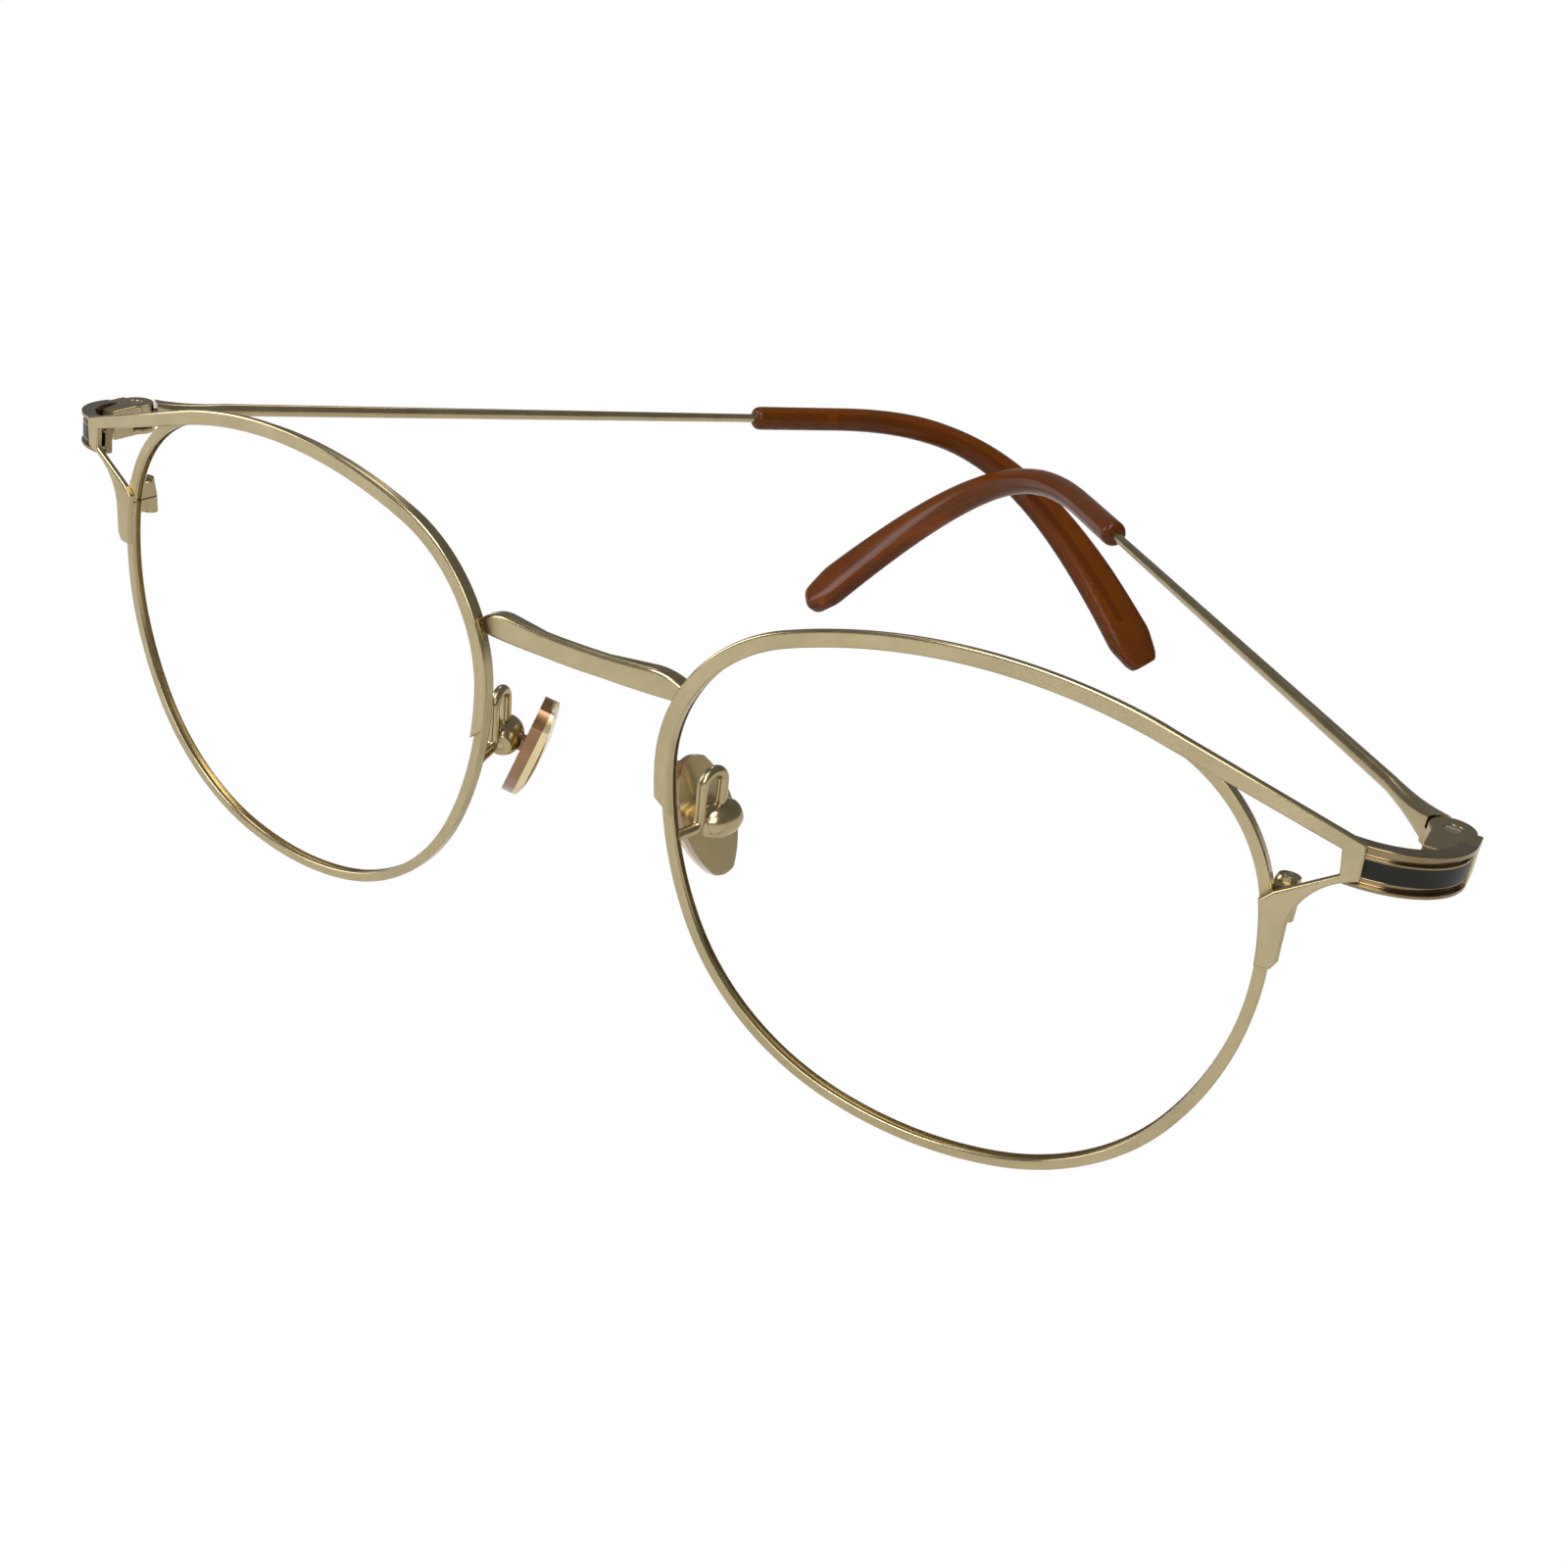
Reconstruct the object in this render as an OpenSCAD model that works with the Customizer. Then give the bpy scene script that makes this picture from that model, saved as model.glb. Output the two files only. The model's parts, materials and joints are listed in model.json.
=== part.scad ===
// Metal eyeglass frame with folding temples, in mm, standing on its rims and temple tips

/* [Lens openings] */
// Width of one lens opening
lens_w = 48; // [43:0.5:55]
// Height of one lens opening
lens_h = 42.6; // [37:0.5:50]
// Space between the two lens openings
bridge_gap = 20.2; // [16:0.2:25]
// Turn of each rim round the face, in degrees
face_wrap = 5.2; // [2:0.2:9]
// Radius of the brow side of the opening
brow_r = 47.7; // [40:0.5:60]
// Radius of the cheek side of the opening
cheek_r = 29; // [26:0.5:34]
// Radius of the nose side of the opening
nose_r = 33.6; // [30:0.5:40]
// Radius of the temple side of the opening
side_r = 28.5; // [26:0.5:34]
// Corner radius between brow and temple
brow_side_r = 14; // [11:0.5:17]
// Corner radius between brow and nose
brow_nose_r = 13.6; // [11:0.5:17]
// Corner radius between cheek and nose
cheek_nose_r = 22.4; // [18:0.5:25]
// Corner radius between cheek and temple
cheek_side_r = 19.3; // [16:0.5:24]
// Shift of the highest point towards the temple
brow_shift = 1; // [0:0.1:3]
// Shift of the lowest point towards the temple
cheek_shift = 1.3; // [0:0.1:3]
// Height of the widest point on the temple side above the middle
side_lift = 2.7; // [1:0.1:5]
// Height of the widest point on the nose side above the middle
nose_lift = 6.3; // [4:0.1:8]

/* [Rims] */
// Width of the rim wire across the front
rim_w = 1.1; // [0.9:0.05:1.6]
// Depth of the rim wire from front to back
rim_d = 1.5; // [1.2:0.05:2.2]
// Depth of the lens groove
groove_d = 0.4; // [0.2:0.05:0.6]
// Width of the lens groove
groove_w = 0.6; // [0.4:0.05:0.9]
// Saw cut that opens the rim at its closing block
rim_cut = 0.12; // [0.08:0.02:0.3]

/* [Brow plates] */
// Width of the brow plate
brow_w = 1.65; // [1.3:0.05:2.2]
// Thickness of the brow plate
brow_t = 1; // [0.7:0.05:1.4]
// Slope of the straight bar behind the brow, in degrees
bar_slope = 16.5; // [12:0.5:22]
// Distance of the outer end of the plate outside the lens opening
plate_out = 5.1; // [4:0.1:7]
// Height of the lower corner of that outer end above the middle
plate_low = 14; // [13:0.1:15]
// Height where the strut ends on the rim
strut_end = 5; // [3.5:0.1:6.5]
// Height where the plate ends beside the nose
nose_end = 1; // [0:0.1:4]
// Radius of the hollow under the strut
strut_r = 5.8; // [4.5:0.1:7]

/* [Bridge] */
// Height of the bridge bar
bridge_h = 2.3; // [1.8:0.1:3]
// Depth of the bridge bar at its middle
bridge_d = 1.3; // [1:0.1:2]
// Extra depth of the bridge bar at each end
bridge_flare = 0.7; // [0:0.1:1.2]
// Forward bow of the bridge bar
bridge_bow = 1; // [0.5:0.1:2]
// Height of the bridge bar above the middle of the lens
bridge_up = 10.3; // [8:0.1:12]

/* [Rim closing blocks] */
// Radius of the closing block barrel
lock_r = 1.05; // [0.9:0.05:1.4]
// Length of the closing block, upper and lower half together
lock_l = 5; // [4:0.1:6]
// Height of the middle of the closing block above the middle of the lens
lock_up = 9.2; // [8.5:0.1:9.5]
// Radius of the closing screw shank
lock_screw_r = 0.5; // [0.4:0.05:0.6]
// Radius of the closing screw head
lock_head_r = 0.75; // [0.65:0.05:0.85]

/* [End pieces] */
// Outer radius of the end piece round its corner
corner_r = 7; // [6.4:0.1:8]
// Height of the end piece
end_h = 3.6; // [3.2:0.1:4.2]
// Depth of the end piece section
end_d = 1.3; // [1.1:0.05:1.6]
// Depth of the grooves beside the inlay
end_groove = 0.5; // [0.3:0.05:0.6]
// Thickness of the top and bottom flanges
flange_t = 0.42; // [0.3:0.02:0.6]
// Height of the dark inlay
inlay_h = 1.4; // [1:0.1:1.6]
// Thickness of the dark inlay
inlay_t = 0.25; // [0.15:0.05:0.35]
// Backward fall of the end piece, in degrees
end_fall = 6; // [0:0.5:8]

/* [Temple hinges] */
// Distance of each hinge pin outside the lens opening
pin_out = 9.1; // [8:0.1:11]
// Distance of the hinge pin behind the rims
pin_back = 11.6; // [11:0.1:13]
// Height of the hinge above the middle of the lens
pin_up = 13.6; // [12:0.1:15]
// Radius of the hinge screw shank
pin_r = 0.55; // [0.45:0.05:0.65]
// Radius of the hinge screw head
pin_head_r = 0.95; // [0.8:0.05:1.1]
// Height of the hinge block
block_h = 3.4; // [3:0.1:4]
// Height of the temple knuckle
knuckle_h = 1.3; // [1:0.1:1.6]
// Radius of the temple knuckle
knuckle_r = 1.5; // [1.3:0.05:1.8]
// Running clearance in the joints
clear = 0.04; // [0.02:0.01:0.08]

/* [Temples] */
// Fold of the right temple as it stands, in degrees
fold_right = 39.2; // [0:0.5:70]
// Fold of the left temple as it stands, in degrees
fold_left = 30.6; // [0:0.5:60]
// Downward slope of the temples, in degrees
temple_slope = 3.65; // [0:0.25:6]
// Length from the hinge pin to the start of the tip
temple_l = 73.6; // [68:0.5:80]
// Radius of the temple wire near the hinge
wire_r = 0.65; // [0.55:0.05:0.8]
// Radius of the temple wire at the tip
wire_end_r = 0.5; // [0.45:0.05:0.6]
// Length of the flattened root of the temple
root_l = 9; // [7:0.5:12]
// Width of the temple root beside the hinge
root_w = 1.9; // [1.6:0.1:2.2]
// Height of the temple wire above the middle of the hinge
wire_up = 0.95; // [0.7:0.05:1.1]

/* [Temple tips] */
// Radius of the round part of the tip
tip_r = 1.3; // [1.2:0.05:1.6]
// Length of the straight round part of the tip
tip_l = 12; // [9:0.5:16]
// Length of the temple core inside the tip
core_l = 11; // [8:0.5:14]
// Reach of the whole tip backwards
hook_back = 54.4; // [50:0.2:60]
// Where the bend of the tip begins
bend_start = 29.6; // [24:0.2:34]
// Where the bend of the tip is tightest
bend_mid = 40.7; // [37:0.2:44]
// Reach of the hook inwards
hook_in = 22.2; // [18:0.2:25]
// Reach of the hook downwards
hook_down = 27.76; // [22:0.01:30]
// Width of the flat end of the tip
paddle_w = 5.6; // [4.5:0.1:6.5]
// Thickness of the flat end of the tip
paddle_t = 2.6; // [2.2:0.1:3.2]

/* [Nose pads] */
// Length of the nose pad
pad_l = 12.5; // [11:0.1:14]
// Width of the nose pad
pad_w = 6; // [5:0.1:7.5]
// Thickness of the nose pad
pad_t = 1.9; // [1.5:0.1:2.4]
// Distance of the middle of the pad inside the edge of the lens opening
pad_in = 0.8; // [0.4:0.1:1.6]
// Distance of the middle of the pad behind the rims
pad_back = 5; // [4.4:0.1:6]
// Distance of the middle of the pad below the middle of the lens
pad_down = 2.4; // [1.5:0.1:3.5]
// Spread of the pads towards the bottom, in degrees
pad_flare = 23; // [15:1:30]
// Spread of the pads towards the back, in degrees
pad_splay = 25; // [15:1:32]
// Radius of the pad arm wire
arm_r = 0.5; // [0.4:0.05:0.6]
// Radius of the barrel that carries the pad
barrel_r = 1.5; // [1.3:0.05:1.8]
// Length of the barrel that carries the pad
barrel_l = 3.6; // [3:0.1:4.4]

/* [Hidden] */
$fn = 64;
eps = 0.01;
half_w = lens_w / 2;
half_h = lens_h / 2;
plate_x = half_w + plate_out;
rim_x = bridge_gap / 2 + half_w * cos(face_wrap);
rim_z = half_h + rim_w;
pin_x = rim_x + half_w + pin_out;
pin_z = rim_z + pin_up;
bridge_z = rim_z + bridge_up;
blend_r = 0.02;
blend_l = 3;

// The origin lies under the middle of the box round the whole frame
reach_front = (half_w + brow_w) * sin(face_wrap) + brow_t * cos(face_wrap);
tip_out = (temple_l + hook_back) * cos(temple_slope) - hook_down * sin(temple_slope);
function tip_reach(fold) = tip_out * cos(fold) - hook_in * sin(fold) + 0.41 * paddle_w;
reach_back = pin_back + max(tip_reach(fold_left), tip_reach(fold_right));
front_y = (reach_front - reach_back) / 2;
pin_y = front_y + pin_back;
pad_pos = [bridge_gap / 2 - pad_in, front_y + pad_back, rim_z - pad_down];

// Corner arc between a brow or cheek arc and a side arc: centre, then its two end angles
function corner(a, b, long_r, tall_r, r) =
  let (p = [0, b - long_r], q = [a - tall_r, 0], d = q - p, l = norm(d))
  let (u = long_r - r, v = tall_r - r, x = (l * l + u * u - v * v) / (2 * l))
  let (h = sqrt(max(u * u - x * x, eps)), m = p + d * x / l, n = [-d.y, d.x] * h / l)
  let (c = (m + n).x + (m + n).y > (m - n).x + (m - n).y ? m + n : m - n)
  [c, atan2(c.y - p.y, c.x - p.x), atan2(c.y - q.y, c.x - q.x)];

top_side = corner(half_w - brow_shift, half_h - side_lift, brow_r, side_r, brow_side_r);
top_nose = corner(half_w + brow_shift, half_h - nose_lift, brow_r, nose_r, brow_nose_r);
low_nose = corner(half_w + cheek_shift, half_h + nose_lift, cheek_r, nose_r, cheek_nose_r);
low_side = corner(half_w - cheek_shift, half_h + side_lift, cheek_r, side_r, cheek_side_r);

// The outline of the opening as eight tangent arcs: centre, radius, first angle, last angle
top_side_c = [brow_shift + top_side[0].x, side_lift + top_side[0].y];
top_nose_c = [brow_shift - top_nose[0].x, nose_lift + top_nose[0].y];
low_nose_c = [cheek_shift - low_nose[0].x, nose_lift - low_nose[0].y];
low_side_c = [cheek_shift + low_side[0].x, side_lift - low_side[0].y];
arcs = [
  [[half_w - side_r, side_lift], side_r, -low_side[2], top_side[2]],
  [top_side_c, brow_side_r, top_side[2], top_side[1]],
  [[brow_shift, half_h - brow_r], brow_r, top_side[1], 180 - top_nose[1]],
  [top_nose_c, brow_nose_r, 180 - top_nose[1], 180 - top_nose[2]],
  [[nose_r - half_w, nose_lift], nose_r, 180 - top_nose[2], 180 + low_nose[2]],
  [low_nose_c, cheek_nose_r, 180 + low_nose[2], 180 + low_nose[1]],
  [[cheek_shift, cheek_r - half_h], cheek_r, 180 + low_nose[1], 360 - low_side[1]],
  [low_side_c, cheek_side_r, 360 - low_side[1], 360 - low_side[2]]
];
side_arc = arcs[0];
brow_side_arc = arcs[1];
brow_nose_arc = arcs[3];
nose_arc = arcs[4];

function on_arc(arc, angle, out) = arc[0] + (arc[1] + out) * [cos(angle), sin(angle)];
function side_edge(up) = side_arc[0].x + sqrt(side_r * side_r - (up - side_lift) * (up - side_lift));
function nose_edge(up) = nose_arc[0].x - sqrt(nose_r * nose_r - (up - nose_lift) * (up - nose_lift));

// Children drawn in a rim's own plane: x to the temple, y up, z to the front
module at_rim() {
  translate([rim_x, front_y, rim_z])
    rotate([90, 0, face_wrap])
      children();
}

// The outline of the opening as a flat shape, grown outwards by a distance
module outline(out) {
  polygon([for (arc = arcs) on_arc(arc, arc[2], out - 0.1)]);
  for (i = [0 : 7]) {
    arc = arcs[i];
    more = i % 2;
    p = on_arc(arc, arc[2], out);
    q = on_arc(arc, arc[3], out);
    chord = norm(q - p);
    intersection() {
      translate(arc[0])
        circle(r = arc[1] + out + more * blend_r, $fn = 128);
      translate(p)
        rotate(atan2(q.y - p.y, q.x - p.x))
          translate([-more * blend_l, -chord])
            square([chord + 2 * more * blend_l, chord + 2 * blend_l]);
    }
  }
}

// The rim wire, grooved for the lens and open at the closing block
module rim() {
  color("goldenrod")
    at_rim()
      difference() {
        translate([0, 0, -rim_d])
          linear_extrude(rim_d)
            difference() {
              outline(rim_w);
              outline(0);
            }
        translate([0, 0, -(rim_d + groove_w) / 2])
          linear_extrude(groove_w)
            outline(groove_d);
        translate([half_w - 2 * rim_w, lock_up - rim_cut / 2, -2 * rim_d])
          cube([4 * rim_w, rim_cut, 3 * rim_d]);
      }
}

bar_angle = 90 - bar_slope;
bar_top = on_arc(brow_side_arc, bar_angle, brow_w);
bar_low = on_arc(brow_side_arc, bar_angle, 0);
bar_top_end = [plate_x, bar_top.y - (plate_x - bar_top.x) * tan(bar_slope)];
strut_angle = asin((strut_end - side_lift) / side_r);
nose_angle = 180 + asin((nose_lift - nose_end) / nose_r);
window_x = plate_x - brow_w;
leg_w = rim_w + 0.3;
end_slant = 41;

// The flat plate over the brow, with its straight bar and its strut
module brow_plate() {
  nose_corner = on_arc(nose_arc, nose_angle, 0);
  slant = 2 * brow_w * [-cos(end_slant), sin(end_slant)];
  color("khaki")
    at_rim()
      difference() {
        union() {
          linear_extrude(brow_t)
            intersection() {
              outline(brow_w);
              polygon([
                nose_corner - slant,
                nose_corner + slant,
                [-lens_w, lens_h],
                [lens_w, lens_h],
                on_arc(brow_side_arc, bar_angle - 8, 2 * brow_w),
                on_arc(brow_side_arc, bar_angle - 8, -brow_w)
              ]);
            }
          linear_extrude(brow_t)
            polygon([
              bar_top,
              bar_top_end,
              [plate_x + 0.2, plate_low],
              on_arc(side_arc, strut_angle, leg_w),
              on_arc(side_arc, strut_angle, -1),
              on_arc(brow_side_arc, bar_angle, -1)
            ]);
        }
        translate([0, 0, -eps])
          linear_extrude(brow_t + 2 * eps)
            polygon([
              bar_low,
              [window_x, bar_low.y - (window_x - bar_low.x) * tan(bar_slope)],
              [window_x + 0.3, plate_low + 0.4],
              [side_edge(lock_up + 1) + rim_w, plate_low - 2.6],
              on_arc(brow_side_arc, side_arc[3], -0.6),
              on_arc(brow_side_arc, side_arc[3] + 30, -3)
            ]);
        translate([plate_x + 2.6, plate_low - strut_r + 0.2, -eps])
          cylinder(r = strut_r, h = brow_t + 2 * eps);
        translate([0, 0, -eps])
          linear_extrude(brow_t + 2 * eps)
            outline(0);
      }
}

// The bar between the rims, its ends fitted to the rim wires
module bridge() {
  half = bridge_gap / 2;
  front = -2.7;
  front_r = (half * half + bridge_bow * bridge_bow) / (2 * bridge_bow);
  rear_sag = bridge_bow + bridge_flare;
  rear_r = (half * half + rear_sag * rear_sag) / (2 * rear_sag);
  color("khaki")
    difference() {
      translate([0, front_y, bridge_z])
        linear_extrude(bridge_h)
          difference() {
            intersection() {
              translate([0, front + front_r])
                circle(r = front_r, $fn = 200);
              translate([-half - rim_w, front - bridge_bow])
                square([2 * half + 2 * rim_w, 6 * bridge_bow + 2]);
            }
            translate([0, front + bridge_d + rear_r])
              circle(r = rear_r, $fn = 200);
          }
      for (side = [0, 1])
        mirror([side, 0, 0])
          at_rim() {
            translate([0, 0, -4 * rim_d])
              linear_extrude(5 * rim_d)
                outline(rim_w + eps);
            linear_extrude(4 * brow_t)
              outline(brow_w + eps);
          }
    }
}

lock_x = side_edge(lock_up) + rim_w + 0.2;
lock_back = rim_d + lock_r + 0.3;

// Children drawn at the closing block: z up along its barrel, y to the back
module at_lock() {
  at_rim()
    translate([lock_x, lock_up, -lock_back])
      rotate([-90, 0, 0])
        children();
}

// Half of the closing block, with the web that joins it to the back of the rim
module lock_half(length) {
  difference() {
    union() {
      cylinder(r = lock_r, h = length);
      translate([-lock_r, -lock_back + rim_d, 0])
        cube([2 * lock_r - 0.3, lock_back - rim_d, length - 0.5]);
    }
    translate([0, 0, -eps])
      cylinder(r = lock_screw_r + clear, h = 2 * length);
  }
}

// Upper half of the closing block, cupped round the screw head
module rim_lock_upper() {
  color("goldenrod")
    at_lock()
      difference() {
        translate([0, 0, rim_cut / 2])
          lock_half(lock_l / 2);
        translate([0, 0, lock_l / 2 + rim_cut / 2 - 0.5])
          cylinder(r = lock_head_r + clear, h = 1);
      }
}

// Lower half of the closing block
module rim_lock_lower() {
  color("goldenrod")
    at_lock()
      mirror([0, 0, 1])
        translate([0, 0, rim_cut / 2])
          lock_half(lock_l / 2);
}

// The slotted screw that closes the rim
module rim_lock_screw() {
  color("gold")
    at_lock()
      difference() {
        union() {
          translate([0, 0, -lock_l / 2])
            cylinder(r = lock_screw_r, h = lock_l);
          translate([0, 0, lock_l / 2 + rim_cut / 2 - 0.5 + eps])
            cylinder(r = lock_head_r, h = 0.4);
        }
        translate([-lock_head_r - eps, -0.1, lock_l / 2 + rim_cut / 2 - 0.3])
          cube([2 * lock_head_r + 2 * eps, 0.2, 1]);
      }
}

block_out = 2.1;
outer_x = pin_x + block_out;
corner_x = outer_x - corner_r;
corner_y = pin_y - 2;
block_in = 1.3;
block_front = 4.1;
block_back = 0.2;
end_root = 1.5;
block_top = block_h / 2;

// Children drawn at the middle of the end piece's corner, leaning back with its fall
module at_corner() {
  translate([corner_x, corner_y, pin_z])
    rotate([-end_fall, 0, 0])
      children();
}

// The section of the end piece: two flanges and a web that carries the inlay
module end_section() {
  web = end_d - end_groove;
  rail = inlay_h / 2 + 0.15;
  translate([corner_r - end_d, 0])
    difference() {
      polygon([
        [0, -end_h / 2],
        [end_d, -end_h / 2],
        [end_d, flange_t - end_h / 2],
        [web, flange_t - end_h / 2],
        [web, -rail],
        [end_d - 0.15, -rail],
        [end_d - 0.15, rail],
        [web, rail],
        [web, end_h / 2 - flange_t],
        [end_d, end_h / 2 - flange_t],
        [end_d, end_h / 2],
        [0, end_h / 2]
      ]);
      translate([end_d - 0.15 - inlay_t, -inlay_h / 2])
        square([1, inlay_h]);
    }
}

// Children are a section, swept round the corner and on to the hinge block
module round_corner() {
  rotate(-90)
    rotate_extrude(angle = 90)
      children();
  rotate([90, 0, 0])
    translate([0, 0, -1])
      linear_extrude(1)
        children();
}

// Everything behind the end of the end piece, with a gap in front of it
module behind_corner(gap) {
  translate([corner_x, corner_y + gap, pin_z - end_h])
    cube([2 * corner_r, corner_r, 2 * end_h]);
}

// The channel that runs from the brow plate round the corner to the hinge block
module end_piece() {
  color("khaki")
    difference() {
      at_corner()
        union() {
          round_corner()
            end_section();
          rotate([90, 0, -90])
            linear_extrude(end_root)
              end_section();
        }
      behind_corner(0);
      at_rim()
        cube([plate_x + 0.3, 2 * plate_low, 4 * brow_t]);
    }
}

// The dark strip let into the web of the end piece
module end_inlay() {
  color("black")
    difference() {
      at_corner()
        rotate(-90) {
          rotate_extrude(angle = 90)
            translate([corner_r - 0.15 - inlay_t + eps, -inlay_h / 2 + eps])
              square([inlay_t, inlay_h - 2 * eps]);
        }
      behind_corner(-0.3);
      at_rim()
        cube([plate_x + 0.3, 2 * plate_low, 4 * brow_t]);
    }
}

// Children drawn at the middle of the hinge pin: x outwards, y to the back
module at_pin() {
  translate([pin_x, pin_y, pin_z])
    children();
}

fork_r = 1.7;
slot_r = knuckle_r + 0.12;
slot_h = knuckle_h + 2 * clear;
seat_h = 0.45;

// The fixed half of the hinge: a block with a fork that holds the temple knuckle
module hinge_block() {
  color("khaki")
    difference() {
      at_pin()
        difference() {
          translate([0, 0, -block_top])
            linear_extrude(block_h)
              union() {
                translate([-block_in, -block_front])
                  square([block_in + block_out, block_front + block_back]);
                circle(r = fork_r);
              }
          translate([0, 0, -slot_h / 2])
            linear_extrude(slot_h)
              union() {
                circle(r = slot_r);
                translate([-2 * slot_r, 0])
                  square([4 * slot_r, 2 * slot_r]);
                translate([-2 * slot_r, -slot_r])
                  square([2 * slot_r, 2 * slot_r]);
              }
          translate([0, 0, -block_h])
            cylinder(r = pin_r + clear, h = 2 * block_h);
          translate([0, 0, block_top - seat_h])
            cylinder(r = pin_head_r + clear, h = block_h);
        }
      difference() {
        at_corner()
          round_corner()
            translate([corner_r - end_d - eps, -end_h])
              square([4, 2 * end_h]);
        behind_corner(eps);
      }
    }
}

// The slotted screw that is the hinge pin
module hinge_screw() {
  color("gold")
    at_pin()
      difference() {
        union() {
          translate([0, 0, -block_top + 0.1])
            cylinder(r = pin_r, h = block_h - seat_h);
          translate([0, 0, block_top - seat_h + eps])
            cylinder(r = pin_head_r, h = 0.38);
        }
        translate([-pin_head_r - eps, -0.12, block_top - 0.25])
          cube([2 * pin_head_r + 2 * eps, 0.24, 1]);
      }
}

root_in = 1.95;
wire_fall = tan(temple_slope);

// Children drawn along a temple: y to the back along the wire, z up
module along_temple() {
  translate([0, 0, wire_up])
    rotate([-temple_slope, 0, 0])
      children();
}

// One temple, open, drawn at its hinge pin: knuckle, flat root and tapered wire
module temple_shape() {
  root_low = wire_up - root_l * wire_fall - wire_r;
  root_top = wire_up - root_l * wire_fall + wire_r;
  difference() {
    union() {
      translate([0, 0, -knuckle_h / 2])
        cylinder(r = knuckle_r, h = knuckle_h);
      translate([-root_w / 2, 0, -knuckle_h / 2])
        cube([root_w, root_in + 0.5, knuckle_h]);
      intersection() {
        rotate([90, 0, 90])
          translate([0, 0, -root_w])
            linear_extrude(2 * root_w)
              polygon([
                [root_in, -knuckle_h / 2],
                [root_l, root_low],
                [root_l, root_top],
                [root_in, block_top - 0.05]
              ]);
        translate([0, 0, -block_h])
          linear_extrude(2 * block_h)
            polygon([
              [-root_w / 2, 0],
              [root_w / 2, 0],
              [root_w / 2, 3.5],
              [wire_r, root_l],
              [-wire_r, root_l],
              [-root_w / 2, 3.5]
            ]);
      }
      along_temple()
        translate([0, root_l - 1.5, 0])
          rotate([-90, 0, 0])
            cylinder(r1 = wire_r, r2 = wire_end_r, h = temple_l - root_l + 1.5);
      along_temple()
        translate([0, temple_l - 1, 0])
          rotate([-90, 0, 0])
            cylinder(r = wire_end_r, h = core_l + 1);
    }
    translate([0, 0, -block_h])
      cylinder(r = pin_r + clear, h = 2 * block_h);
  }
}

// The path of the tip behind its straight part: outwards, backwards, up
function hook(t) =
  let (u = 1 - t, a = 3 * u * u * t, b = 3 * u * t * t, c = t * t * t)
  let (near = u * u * u * tip_l + a * (bend_start + 3) + b * (bend_mid + 2))
  [-b * 0.2 * hook_in - c * hook_in, near + c * hook_back, -b * 0.165 * hook_down - c * hook_down];

function unit(v) = v / norm(v);
tip_steps = 32;
ring_points = 28;
// Share of the full width that the tip has grown to, and the cut corners at its end
function grown(t) = pow(max(0, (t - 0.3) / 0.7), 1.3);
function end_cut(t) = t > 0.93 ? 1 - 5.5 * (t - 0.93) : 1;
function tip_ring(t) =
  let (p = hook(t) - [0, t > 0 ? 0 : 0.4, 0], d = unit(hook(t + 0.002) - hook(max(0, t - 0.002))))
  let (n = unit([-1, 0, 0] + d.x * d), w = cross(d, n))
  let (a = (tip_r - 0.03 + (paddle_w / 2 - tip_r) * grown(t)) * end_cut(t))
  let (b = tip_r - 0.03 + (paddle_t / 2 - tip_r) * grown(t))
  let (k = 1 - 0.4 * grown(t))
  [for (i = [0 : ring_points - 1])
    let (c = cos(i * 360 / ring_points), s = sin(i * 360 / ring_points))
    p + w * a * sign(c) * pow(abs(c), k) + n * b * sign(s) * pow(abs(s), k)];

// The hooked part of the tip, lofted from round to a flat paddle
module tip_hook() {
  rings = [for (i = [0 : tip_steps]) tip_ring(i / tip_steps)];
  last = tip_steps * ring_points;
  polyhedron(
    points = [for (ring = rings) each ring],
    faces = [
      [for (i = [0 : ring_points - 1]) ring_points - 1 - i],
      for (j = [0 : tip_steps - 1])
        for (i = [0 : ring_points - 1])
          let (a = j * ring_points + i, b = j * ring_points + (i + 1) % ring_points)
          each [[a, b, a + ring_points], [b, b + ring_points, a + ring_points]],
      [for (i = [0 : ring_points - 1]) last + i]
    ]
  );
}

// One temple tip, drawn with its temple: a round sleeve that ends in the hook
module tip_shape() {
  along_temple()
    translate([0, temple_l, 0])
      difference() {
        union() {
          rotate([-90, 0, 0]) {
            cylinder(r1 = tip_r - 0.35, r2 = tip_r, h = 0.35);
            translate([0, 0, 0.35])
              cylinder(r = tip_r, h = tip_l - 0.35);
          }
          tip_hook();
        }
        translate([0, -1, 0])
          rotate([-90, 0, 0])
            cylinder(r = wire_end_r + eps, h = core_l + 1.1);
      }
}

arm_up = -1.5;
arm_turn = 15;
arm_bend = 0.8;
arm_loop = 1.2;
barrel_out = pad_t / 2 + barrel_r + 0.35;
lug_r = 0.95;
pad_pin_r = 0.35;
pad_slot = 1.2;

// Children drawn at a nose pad: z along it, x away from the nose
module at_pad() {
  translate(pad_pos)
    rotate([0, -pad_flare, 0])
      rotate([0, 0, -pad_splay])
        children();
}

// Children drawn at the pad's pivot: z along the pin
module at_barrel() {
  at_pad()
    translate([barrel_out, 0, 0])
      rotate([-90, 0, 0])
        children();
}

// A round bead where a straight length of the pad arm meets a bend
module arm_bead(at) {
  translate(at)
    sphere(r = arm_r + 0.03);
}

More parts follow.
